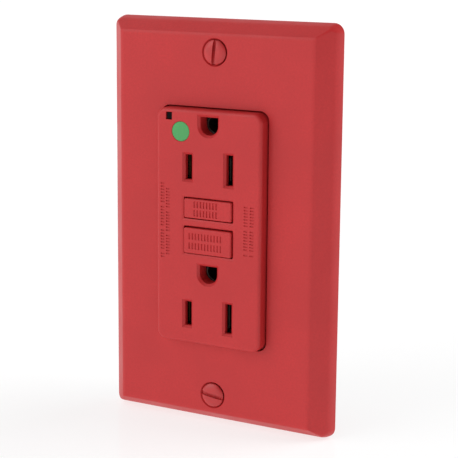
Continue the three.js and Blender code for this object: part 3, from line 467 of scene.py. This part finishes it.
def spread(tree, value, low, high, start=0.3, end=0.7):
    """Maps the value's range from start to end onto low to high."""
    made = tree.nodes.new("ShaderNodeMapRange")
    made.inputs["From Min"].default_value = start
    made.inputs["From Max"].default_value = end
    made.inputs["To Min"].default_value = low
    made.inputs["To Max"].default_value = high
    tree.links.new(value, made.inputs["Value"])
    return made.outputs["Result"]


def blend_colours(tree, share, first, second):
    """first where share is 0, second where it is 1; each is a colour or a socket."""
    made = tree.nodes.new("ShaderNodeMix")
    made.data_type = "RGBA"
    tree.links.new(share, made.inputs["Factor"])
    for socket, colour in (("A", first), ("B", second)):
        target = next(entry for entry in made.inputs if entry.name == socket and entry.type == "RGBA")
        if isinstance(colour, bpy.types.NodeSocket):
            tree.links.new(colour, target)
        else:
            target.default_value = colour
    return next(entry for entry in made.outputs if entry.type == "RGBA")


def add_bump(tree, shader, height, distance, strength=1.0, below=None):
    """Bump of the given height in mm; below is an earlier bump that it lies on."""
    made = tree.nodes.new("ShaderNodeBump")
    made.inputs["Distance"].default_value = distance * MM
    made.inputs["Strength"].default_value = strength
    tree.links.new(height, made.inputs["Height"])
    if below is not None:
        tree.links.new(below, made.inputs["Normal"])
    tree.links.new(made.outputs["Normal"], shader.inputs["Normal"])
    return made.outputs["Normal"]


def darker(colour, factor):
    return (colour[0] * factor, colour[1] * factor, colour[2] * factor, 1.0)


# ---------------------------------------------------------------- Materials
def moulded_plastic(name, colour, roughness=0.4, grain=0.014, contrast=0.12, coat=0.0):
    """Moulded thermoplastic: faint flow clouds, fine grain and a satin skin."""
    material, tree, shader = new_material(name)
    position = object_position(tree)
    clouds = noise(tree, position, 0.06, detail=3.0)
    specks = noise(tree, position, 1.7, detail=3.0)
    flow = blend_colours(tree, spread(tree, clouds, 0.0, 1.0), darker(colour, 1 - contrast), colour)
    tinted = blend_colours(tree, spread(tree, specks, 0.0, 0.7), flow, darker(colour, 1 - 1.5 * contrast))
    tree.links.new(tinted, shader.inputs["Base Color"])
    wiped = noise(tree, position, 0.12, detail=5.0, stretch=(1.0, 1.0, 0.5))
    tree.links.new(spread(tree, wiped, roughness - 0.06, roughness + 0.07), shader.inputs["Roughness"])
    skin = add_bump(tree, shader, noise(tree, position, 0.25, detail=2.0), 0.03, strength=0.35)
    add_bump(tree, shader, noise(tree, position, 3.2, detail=3.0), grain, below=skin)
    shader.inputs["Specular IOR Level"].default_value = 0.35
    if coat:
        shader.inputs["Coat Weight"].default_value = coat
        shader.inputs["Coat Roughness"].default_value = 0.12
    return material


def painted_steel(name, colour, roughness=0.38):
    """Baked paint over a turned head, with small runs and a few worn specks."""
    material, tree, shader = new_material(name)
    position = object_position(tree)
    clouds = noise(tree, position, 0.5, detail=4.0)
    coatings = blend_colours(tree, spread(tree, clouds, 0.0, 1.0), darker(colour, 0.84), colour)
    worn = spread(tree, noise(tree, position, 1.6, detail=6.0), 0.0, 0.6, start=0.66, end=0.74)
    tree.links.new(blend_colours(tree, worn, coatings, darker(colour, 0.5)), shader.inputs["Base Color"])
    tree.links.new(spread(tree, clouds, roughness - 0.08, roughness + 0.1), shader.inputs["Roughness"])
    peel = add_bump(tree, shader, noise(tree, position, 1.2, detail=2.0), 0.02, strength=0.6)
    add_bump(tree, shader, noise(tree, position, 6.0, detail=2.0), 0.004, below=peel)
    return material


def metal(name, colour, roughness=0.32, stain=None, brushed=(1.0, 1.0, 1.0), brush_per_mm=3.0):
    """Plated or rolled sheet: brushed grain, cloudy stain and small pits."""
    material, tree, shader = new_material(name, metallic=1.0)
    position = object_position(tree)
    clouds = noise(tree, position, 0.2, detail=5.0, roughness=0.65)
    aged = stain or darker(colour, 0.72)
    tinted = blend_colours(tree, spread(tree, clouds, 0.0, 1.0, start=0.35, end=0.75), colour, aged)
    strokes = noise(tree, position, brush_per_mm, detail=3.0, stretch=brushed)
    stroked = blend_colours(tree, spread(tree, strokes, 0.0, 0.3), tinted, darker(colour, 0.6))
    tree.links.new(stroked, shader.inputs["Base Color"])
    tree.links.new(spread(tree, clouds, roughness - 0.08, roughness + 0.16), shader.inputs["Roughness"])
    lines = add_bump(tree, shader, strokes, 0.006, strength=0.6)
    pits = spread(tree, noise(tree, position, 2.2, detail=4.0), 0.0, 1.0, start=0.62, end=0.72)
    add_bump(tree, shader, pits, -0.01, strength=0.5, below=lines)
    return material


def wound_wire(name, colour, turns_per_mm=4.0):
    """Enamelled magnet wire wound round an axis along Z: one ridge for each turn, with painted shade
    darkening the grooves between turns.
    """
    material, tree, shader = new_material(name, metallic=1.0, roughness=0.3)
    position = object_position(tree)
    axes = tree.nodes.new("ShaderNodeSeparateXYZ")
    tree.links.new(position, axes.inputs["Vector"])
    waves = tree.nodes.new("ShaderNodeMath")
    waves.operation = "MULTIPLY"
    waves.inputs[1].default_value = 2 * math.pi * turns_per_mm / MM
    tree.links.new(axes.outputs["Z"], waves.inputs[0])
    ridges = tree.nodes.new("ShaderNodeMath")
    ridges.operation = "SINE"
    tree.links.new(waves.outputs["Value"], ridges.inputs[0])
    shade = spread(tree, ridges.outputs["Value"], 0.0, 1.0, start=-1.0, end=1.0)
    clouds = noise(tree, position, 0.8, detail=4.0)
    enamel = blend_colours(tree, spread(tree, clouds, 0.0, 1.0), colour, darker(colour, 0.7))
    # The colour falls to 0.3 of the enamel in the grooves between turns: painted shade.
    tree.links.new(blend_colours(tree, shade, darker(colour, 0.3), enamel), shader.inputs["Base Color"])
    tree.links.new(spread(tree, clouds, 0.22, 0.4), shader.inputs["Roughness"])
    add_bump(tree, shader, shade, 0.06)
    return material


def fibre(name, colour):
    """Pressed fibre card: long pale fibres and a soft nap."""
    material, tree, shader = new_material(name, roughness=0.9)
    position = object_position(tree)
    strands = noise(tree, position, 0.9, detail=6.0, stretch=(1.0, 1.0, 0.2))
    clouds = noise(tree, position, 0.3, detail=3.0)
    base = blend_colours(tree, spread(tree, clouds, 0.0, 1.0), colour, darker(colour, 0.8))
    tinted = blend_colours(tree, spread(tree, strands, 0.0, 0.6), base, darker(colour, 0.6))
    tree.links.new(tinted, shader.inputs["Base Color"])
    tree.links.new(spread(tree, clouds, 0.82, 0.96), shader.inputs["Roughness"])
    add_bump(tree, shader, strands, 0.04)
    return material


def circuit_laminate(name, colour):
    """Solder-masked glass laminate with a faint weave under the mask."""
    material, tree, shader = new_material(name, roughness=0.42)
    position = object_position(tree)
    weave = tree.nodes.new("ShaderNodeTexChecker")
    weave.inputs["Scale"].default_value = 1.4 / MM
    weave.inputs["Color1"].default_value = colour
    weave.inputs["Color2"].default_value = darker(colour, 0.82)
    tree.links.new(position, weave.inputs["Vector"])
    clouds = noise(tree, position, 0.15, detail=4.0)
    share = spread(tree, clouds, 0.0, 0.6)
    tree.links.new(
        blend_colours(tree, share, weave.outputs["Color"], darker(colour, 0.6)),
        shader.inputs["Base Color"],
    )
    tree.links.new(spread(tree, clouds, 0.34, 0.5), shader.inputs["Roughness"])
    add_bump(tree, shader, weave.outputs["Fac"], 0.01, strength=0.6)
    return material


def smoked_window(name, colour):
    """Dark light pipe with a glossy tip and a faint haze."""
    material, tree, shader = new_material(name, roughness=0.16)
    position = object_position(tree)
    haze = noise(tree, position, 0.8, detail=4.0)
    tinted = blend_colours(tree, spread(tree, haze, 0.0, 1.0), colour, darker(colour, 2.2))
    tree.links.new(tinted, shader.inputs["Base Color"])
    tree.links.new(spread(tree, haze, 0.12, 0.26), shader.inputs["Roughness"])
    add_bump(tree, shader, noise(tree, position, 3.0, detail=2.0), 0.003)
    shader.inputs["Specular IOR Level"].default_value = 0.06
    return material


RED = srgb(205, 50, 52)


def make_materials():
    """One material for each slot of the record, and a few for single pieces."""
    return {
        "red_plastic": moulded_plastic("red_plastic", RED, roughness=0.42),
        "red_enamel": painted_steel("red_enamel", srgb(199, 48, 50)),
        "green_plastic": moulded_plastic("green_plastic", srgb(85, 174, 101), roughness=0.45),
        "smoked_plastic": smoked_window("smoked_plastic", srgb(10, 8, 8)),
        "black_plastic": moulded_plastic("black_plastic", srgb(44, 45, 48), roughness=0.48, contrast=0.2),
        "grey_plastic": moulded_plastic("grey_plastic", srgb(141, 144, 148), roughness=0.5),
        "white_plastic": moulded_plastic("white_plastic", srgb(228, 225, 215), contrast=0.08, roughness=0.5),
        "green_enamel": metal("green_enamel", srgb(52, 132, 78), stain=srgb(34, 92, 52)),
        "zinc_steel": metal("zinc_steel", srgb(190, 193, 196), brushed=(1.0, 1.0, 0.06)),
        "spring_steel": metal("spring_steel", srgb(170, 172, 176), roughness=0.28),
        "brass": metal("brass", srgb(206, 168, 84), stain=srgb(160, 118, 52), brushed=(1.0, 1.0, 0.08)),
        "nickel_brass": metal("nickel_brass", srgb(184, 182, 175), stain=srgb(150, 143, 128)),
        "copper": metal("copper", srgb(196, 118, 76), stain=srgb(130, 74, 48)),
        "wound_copper": wound_wire("wound_copper", srgb(186, 106, 60)),
        # Dark brass and nickel for the contacts deep in the slots and ground holes: painted shade, over a
        # cloudy stain.
        "shade_darkened_brass": metal("shade_darkened_brass", srgb(112, 88, 54), roughness=0.5, stain=srgb(66, 50, 32)),
        "shade_darkened_nickel": metal("shade_darkened_nickel", srgb(98, 94, 88), roughness=0.5, stain=srgb(60, 57, 52)),
        "ferrite": moulded_plastic("ferrite", srgb(60, 61, 65), roughness=0.7, grain=0.03, contrast=0.25),
        "fibre_board": fibre("fibre_board", srgb(184, 152, 108)),
        "board_laminate": circuit_laminate("board_laminate", srgb(44, 108, 60)),
        "blue_resin": moulded_plastic("blue_resin", srgb(44, 94, 168), roughness=0.3, coat=0.4),
        "tan_resin": moulded_plastic("tan_resin", srgb(200, 168, 120), roughness=0.34, coat=0.3),
    }


# ---------------------------------------------------------------- Pieces that replace CAD nodes
def stand_for(piece, node, materials):
    """The piece takes the node's place and finish."""
    piece.data.materials.clear()
    piece.data.materials.append(materials[SLOT_OF[node]])
    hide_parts(node)


def finish_piece(piece, node, materials):
    stand_for(piece, node, materials)
    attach(piece, BODY_OF[node])


def section_layers(rows):
    return [(rounded_rectangle(half_x, half_z, radius), y) for half_x, half_z, radius, y in rows]


def screw_seat(z):
    slope = (SEAT_RADIUS - SCREW_HOLE_RADIUS) / SEAT_DEPTH
    profile = (
        (SEAT_RADIUS + slope * RUN, PLATE_FRONT - RUN),
        (SCREW_HOLE_RADIUS, PLATE_FRONT + SEAT_DEPTH),
        (SCREW_HOLE_RADIUS, RUN),
    )
    return turned("seat_cutter", profile, (0.0, z))


def build_wall_plate():
    plate = loft("wall_plate_moulding", section_layers(PLATE_OUTSIDE))
    combine(plate, [loft("cavity_cutter", section_layers(PLATE_INSIDE))], "DIFFERENCE")
    bosses = [
        turned("boss", ((BOSS_RADIUS, BOSS_Y[0]), (BOSS_RADIUS, BOSS_Y[1])), (0.0, end * SCREW_Z))
        for _, end in ENDS
    ]
    combine(plate, bosses, "UNION")
    half_x, half_z, radius = PLATE_WINDOW
    window = prism("window_cutter", rounded_rectangle(half_x, half_z, radius), PLATE_FRONT - RUN, RUN)
    combine(plate, [window] + [screw_seat(end * SCREW_Z) for _, end in ENDS], "DIFFERENCE")
    return soften(clean(plate), EDGE_WIDTHS["plate"])


def bevelled_cutter(name, outline, depth, back=FACE_INNER + RUN):
    """Cuts an opening with a bevelled mouth; outline(grow) gives its ring."""
    layers = [
        (outline(0.0), back),
        (outline(0.0), FACE_FRONT + depth),
        (outline(BEVEL), FACE_FRONT - PROUD),
    ]
    return loft(name, layers)


def slot_cutter(side, line):
    centre = (side * SLOT_X, line)
    half = SLOT_HALF_HEIGHTS[side]
    return bevelled_cutter(
        "slot_cutter",
        lambda grow: sharp_rectangle(SLOT_HALF_WIDTH + grow, half + grow, centre),
        BEVEL,
    )


def ground_cutter(z):
    return bevelled_cutter("ground_cutter", lambda grow: ground_outline(grow, z), BEVEL, COLLAR_BACK)


def well_cutter(button):
    centre = (0.0, button["well_z"])
    half = (WELL_HALF_WIDTH, button["well_half"])
    return bevelled_cutter(
        "well_cutter",
        lambda grow: rounded_rectangle(half[0] + grow, half[1] + grow, WELL_RADIUS, centre),
        WELL_BEVEL_DEPTH,
    )


def hole(name, radius, centre, front, back):
    """A round cutter or peg along Y."""
    return turned(name, ((radius, front), (radius, back)), centre)


def column_centres(x, top, bottom):
    """Dash centres down a column, with a wider gap after each word."""
    centres = []
    z = top
    while z > bottom:
        centres.append((x, z))
        z -= COLUMN_PITCH
        if len(centres) % COLUMN_WORD == 0:
            z -= COLUMN_GAP
    return centres


def face_openings():
    """Cutters for everything that opens through the front of the face."""
    front = FACE_FRONT - RUN
    window = sharp_rectangle(*WINDOW["half"], (WINDOW["x"], WINDOW["z"]))
    marker_back = FACE_FRONT + MARKER_POCKET["depth"]
    marker_centre = (MARKER["x"], MARKER["z"])
    cutters = [prism("window_cutter", window, front, FACE_INNER + RUN)]
    cutters.append(hole("marker_cutter", MARKER_POCKET["radius"], marker_centre, front, marker_back))
    cutters += [slot_cutter(side, line) for line in SLOT_LINES for side in (-1, 1)]
    cutters += [ground_cutter(z) for z in GROUND_CENTRES]
    cutters += [well_cutter(button) for button in BUTTONS.values()]
    return cutters


def hidden_recesses():
    """Cutters behind the face: room for the ground sleeves, the light pipe and the case screws."""
    open_back = FLANGE_Y[1] + RUN
    passage = sharp_rectangle(LENS_PASSAGE_HALF, LENS_PASSAGE_HALF, (WINDOW["x"], WINDOW["z"]))
    cutters = [prism("passage_cutter", passage, FACE_INNER, open_back)]
    for z in GROUND_CENTRES:
        cutters.append(hole("sleeve_cutter", SLEEVE_RADIUS, (0.0, z), COLLAR_BACK, open_back))
    for _, end in ENDS:
        for side in (-1, 1):
            centre = (side * CASE_SCREW_HOLE["x"], end * CASE_SCREW_HOLE["z"])
            radius = CASE_SCREW_HOLE["radius"]
            cutters.append(hole("screw_cutter", radius, centre, CASE_SCREW_HOLE["front"], open_back))
    return cutters


def build_face():
    face = pillow("device_face", FACE_HALF, FACE_CORNER, FACE_EDGE, FACE_FRONT, FLANGE_Y[1])
    combine(face, [prism("flange", rounded_rectangle(*FLANGE), *FLANGE_Y)], "UNION")
    hollow = rounded_rectangle(*HOLLOW_HALF, SHARP_CORNER)
    combine(face, [prism("hollow_cutter", hollow, FACE_INNER, FLANGE_Y[1] + RUN)], "DIFFERENCE")
    collar_front = FACE_INNER - RUN
    collars = [hole("collar", COLLAR_RADIUS, (0.0, z), collar_front, COLLAR_BACK) for z in GROUND_CENTRES]
    combine(face, collars, "UNION")
    combine(face, hidden_recesses(), "DIFFERENCE")
    combine(face, face_openings(), "DIFFERENCE")
    centres = [centre for column in COLUMNS for centre in column_centres(**column)]
    combine(face, [sheet_of_dashes("column_dashes", centres, COLUMN_DASH_HALF, FACE_FRONT)], "DIFFERENCE")
    return soften(clean(face), EDGE_WIDTHS["face"])


def dash_rows(count, pitch, rows):
    first = DASH_X - pitch * (count - 1) / 2
    return [(first + pitch * index, z) for z in rows for index in range(count)]


def build_button(node):
    button = BUTTONS[node]
    front = FACE_FRONT - button["proud"]
    half = (CAP_HALF_WIDTH, button["half_height"])
    cap = pillow(f"{node}_cap", half, CAP_CORNER, CAP_EDGE, front, CAP_FLANGE_Y[1], button["z"])
    lip_half = (half[0] + CAP_LIP, half[1] + CAP_LIP)
    lip = rounded_rectangle(*lip_half, SHARP_CORNER, (0.0, button["z"]))
    combine(cap, [prism("lip", lip, *CAP_FLANGE_Y)], "UNION")
    dashes = sheet_of_dashes("button_dashes", dash_rows(**BUTTON_DASHES[node]), BUTTON_DASH_HALF, front)
    combine(cap, [dashes], "DIFFERENCE")
    return cap


def build_test_button():
    button = build_button("test_button")
    centre = (0.0, BUTTONS["test_button"]["z"])
    combine(button, [hole("stem", STEM["radius"], centre, CAP_FLANGE_Y[1] - RUN, STEM["back"])], "UNION")
    return soften(clean(button), EDGE_WIDTHS["button"])


def build_reset_button():
    button = build_button("reset_button")
    centre = (0.0, BUTTONS["reset_button"]["z"])
    pocket = hole("pocket", SPRING_POCKET["radius"], centre, SPRING_POCKET["front"], CAP_FLANGE_Y[1] + RUN)
    combine(button, [pocket], "DIFFERENCE")
    return soften(clean(button), EDGE_WIDTHS["button"])


def build_marker():
    edge = MARKER["edge"]
    radius = MARKER["radius"]
    profile = (
        (radius - edge, FACE_FRONT),
        (radius - 0.3 * edge, FACE_FRONT + 0.3 * edge),
        (radius, FACE_FRONT + edge),
        (radius, FACE_FRONT + MARKER["depth"]),
    )
    return soften(turned("marker_disc", profile, (MARKER["x"], MARKER["z"])), EDGE_WIDTHS["marker"])


def thread_rows(start, end):
    """Ridges of a thread, as rows of radius and y."""
    half_pitch = THREAD["pitch"] / 2
    rows = []
    for step in range(int((end - start) / half_pitch)):
        rows.append((THREAD["root"] if step % 2 == 0 else THREAD["radius"], start + half_pitch * step))
    return rows


def build_screw(node, kind, outward, turn=0.0):
    """A slotted screw in its node's box, with its head towards outward and its slot turned by degrees."""
    shape = SCREWS[kind]
    screw = turned(f"{node}_turned", (*shape["head"], *thread_rows(*shape["thread"]), shape["tip"]))
    head_front = shape["head"][0][1]
    reach = max(radius for radius, _ in shape["head"]) + RUN
    slot = rounded_rectangle(SCREW_SLOT["half_width"], reach, SHARP_CORNER)
    cutter = prism("slot_cutter", slot, head_front - RUN, head_front + SCREW_SLOT["depth"])
    combine(screw, [cutter], "DIFFERENCE")
    low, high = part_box(node)
    half_length = abs((high - low).dot(outward)) / 2
    seat = (low + high) / 2 + outward * (half_length + head_front * MM)
    aim = Vector((0.0, -1.0, 0.0)).rotation_difference(outward).to_matrix().to_4x4()
    spin = Matrix.Rotation(math.radians(turn), 4, "Y")
    screw.data.transform(Matrix.Translation(seat) @ aim @ spin)
    return soften(clean(screw), EDGE_WIDTHS["screw"])


def bare_the_shank(screw, materials):
    """The paint covers only the head, and the thread behind it is plated."""
    screw.data.materials.append(materials["zinc_steel"])
    for face in screw.data.polygons:
        face.material_index = 1 if face.center.y > SHANK_START * MM else 0


def build_screws(materials):
    front = Vector((0.0, -1.0, 0.0))
    for end_name, _ in ENDS:
        node = f"plate_screw_{end_name}"
        screw = build_screw(node, "plate_screw", front, SCREW_TURNS[end_name])
        finish_piece(screw, node, materials)
        bare_the_shank(screw, materials)
        node = f"mounting_screw_{end_name}"
        finish_piece(build_screw(node, "mounting_screw", front), node, materials)
    node = "ground_screw"
    finish_piece(build_screw(node, node, Vector((0.0, 0.0, -1.0))), node, materials)
    for pole, side in POLES:
        for circuit in CIRCUITS:
            node = f"{circuit}_{pole}_screw"
            finish_piece(build_screw(node, "terminal_screw", Vector((side, 0.0, 0.0))), node, materials)


def spring_rise(spring, turn):
    """How far the wire has climbed after some turns: the end turns are closed and the others open."""
    length = abs(spring["span"][1] - spring["span"][0]) - 2 * spring["wire"]
    closed_rise = CLOSED_TURNS * CLOSED_PITCH * spring["wire"]
    if turn < CLOSED_TURNS:
        return closed_rise * turn / CLOSED_TURNS
    if turn > spring["turns"] - CLOSED_TURNS:
        return length - closed_rise * (spring["turns"] - turn) / CLOSED_TURNS
    open_turns = spring["turns"] - 2 * CLOSED_TURNS
    return closed_rise + (length - 2 * closed_rise) * (turn - CLOSED_TURNS) / open_turns


def build_spring(node):
    """A round wire wound into a compression spring between the two ends of its span."""
    spring = SPRINGS[node]
    start, end = spring["span"]
    axis = Vector((0.0, 1.0, 0.0)) if spring["axis"] == "y" else Vector((0.0, 0.0, 1.0))
    first = Vector(spring["centre"]) + axis * start
    advance = axis * math.copysign(1.0, end - start)
    across = Vector((1.0, 0.0, 0.0))
    upward = axis.cross(across)

    def ring(shape, step):
        turn = step / SPRING_STEPS
        outward = across * math.cos(2 * math.pi * turn) + upward * math.sin(2 * math.pi * turn)
        middle = first + advance * (spring["wire"] + spring_rise(spring, turn)) + outward * spring["coil"]
        angles = [2 * math.pi * side / SPRING_SIDES for side in range(SPRING_SIDES)]
        return [
            shape.verts.new(middle + (outward * math.cos(angle) + axis * math.sin(angle)) * spring["wire"])
            for angle in angles
        ]

    def build(shape):
        rings = [ring(shape, step) for step in range(spring["turns"] * SPRING_STEPS + 1)]
        join_rings(shape, rings)
        shape.faces.new(rings[0])
        shape.faces.new(rings[-1])

    coil = new_object(f"{node}_coil", build)
    coil.data.shade_smooth()
    return coil, first * MM, (first + axis * (end - start)) * MM


def build_springs(materials):
    """Builds each spring's coil in its node's place, with the node's finish; the coil keeps its shape."""
    for node, spring in SPRINGS.items():
        coil, moving_end, fixed_end = build_spring(node)
        stand_for(coil, node, materials)
        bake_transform(coil)


def build_pieces(materials):
    finish_piece(build_wall_plate(), "wallplate", materials)
    finish_piece(build_face(), "face_cover", materials)
    finish_piece(build_test_button(), "test_button", materials)
    finish_piece(build_reset_button(), "reset_button", materials)
    finish_piece(build_marker(), "grade_marker_dot", materials)
    build_screws(materials)
    build_springs(materials)


# ---------------------------------------------------------------- CAD nodes that stay
def dress_cad_nodes(materials):
    """Gives each CAD node its material, smooth round faces and slightly eased edges."""
    for entry in RECORD["subparts"]:
        node = NODES[entry["node"]]
        node.data.materials.clear()
        node.data.materials.append(materials[SPECIAL_FINISH.get(entry["node"], entry["material_slot"])])
        weld = node.modifiers.new("weld", "WELD")
        weld.merge_threshold = WELD_DISTANCE * MM
        soften(node, EDGE_WIDTHS["cad"])


# ---------------------------------------------------------------- Stage
def floor_material():
    """Pale and softly glowing, with a faint polish that mirrors the plate's foot."""
    material, tree, shader = new_material("studio_floor", roughness=0.9)
    clouds = noise(tree, object_position(tree), 0.004, detail=2.0)
    tree.links.new(
        blend_colours(tree, spread(tree, clouds, 0.0, 0.3), FLOOR_PALE, darker(FLOOR_PALE, 0.98)),
        shader.inputs["Base Color"],
    )
    shader.inputs["Specular IOR Level"].default_value = 0.0
    shader.inputs["Emission Color"].default_value = WHITE
    shader.inputs["Emission Strength"].default_value = FLOOR_GLOW
    polish = tree.nodes.new("ShaderNodeBsdfGlossy")
    polish.inputs["Roughness"].default_value = 0.04
    polished = tree.nodes.new("ShaderNodeMixShader")
    polished.inputs["Fac"].default_value = FLOOR_POLISH
    tree.links.new(shader.outputs["BSDF"], polished.inputs[1])
    tree.links.new(polish.outputs["BSDF"], polished.inputs[2])
    tree.links.new(polished.outputs["Shader"], tree.nodes["Material Output"].inputs["Surface"])
    return material


def build_floor():
    """A wide pale round floor just under the plate, with a low curved rim far away."""
    floor_z = cad_box[0].z / MM

    def build(shape):
        rings = []
        for radius, height in FLOOR_ROWS:
            rings.append([shape.verts.new((x, y, floor_z + height)) for x, y in circle(radius, FLOOR_SIDES)])
        shape.faces.new(rings[0])
        join_rings(shape, rings)

    floor = new_object("studio_floor", build)
    floor.data.shade_smooth()
    floor.data.materials.append(floor_material())


def build_world():
    """Soft white room light, brighter on the left and in front than above and on the right."""
    world = bpy.data.worlds.new("studio")
    world.use_nodes = True
    tree = world.node_tree
    background = tree.nodes["Background"]
    background.inputs["Color"].default_value = WHITE
    toward_light = tree.nodes.new("ShaderNodeVectorMath")
    toward_light.operation = "DOT_PRODUCT"
    toward_light.inputs[1].default_value = Vector(ROOM["toward"]).normalized()
    direction = tree.nodes.new("ShaderNodeTexCoord").outputs["Generated"]
    tree.links.new(direction, toward_light.inputs[0])
    level = spread(tree, toward_light.outputs["Value"], *ROOM["strengths"], *ROOM["range"])
    tree.links.new(level, background.inputs["Strength"])
    bpy.context.scene.world = world


def soft_light(name, source, strength, softness):
    """An even light from the direction of source; softness is its width in degrees."""
    light = bpy.data.lights.new(name, "SUN")
    light.energy = strength
    light.angle = math.radians(softness)
    lamp = bpy.data.objects.new(name, light)
    bpy.context.scene.collection.objects.link(lamp)
    lamp.rotation_mode = "QUATERNION"
    lamp.rotation_quaternion = Vector(source).normalized().to_track_quat("Z", "Y")
    return lamp


def build_lights():
    """The rim lights the far edges, and leaves no mirror spot on the plastic."""
    soft_light("key", **KEY)
    rim = soft_light("rim", **RIM)
    rim.visible_glossy = False


def build_camera():
    azimuth = math.radians(CAMERA["azimuth"])
    elevation = math.radians(CAMERA["elevation"])
    back = Vector((
        math.sin(azimuth) * math.cos(elevation),
        -math.cos(azimuth) * math.cos(elevation),
        math.sin(elevation),
    ))
    data = bpy.data.cameras.new("camera")
    data.lens = CAMERA["lens"]
    data.sensor_width = 36.0
    data.shift_x, data.shift_y = CAMERA["shift"]
    data.clip_start = 0.01
    data.clip_end = 50.0
    camera = bpy.data.objects.new("camera", data)
    bpy.context.scene.collection.objects.link(camera)
    camera.location = (Vector(CAMERA["target"]) + back * CAMERA["distance"]) * MM
    camera.rotation_mode = "QUATERNION"
    roll = Quaternion((0.0, 0.0, 1.0), math.radians(CAMERA["roll"]))
    camera.rotation_quaternion = (-back).to_track_quat("-Z", "Y") @ roll
    bpy.context.scene.camera = camera


def main():
    materials = make_materials()
    dress_cad_nodes(materials)
    build_pieces(materials)
    build_floor()
    build_world()
    build_lights()
    build_camera()
    bpy.context.scene.view_settings.view_transform = "Standard"


main()
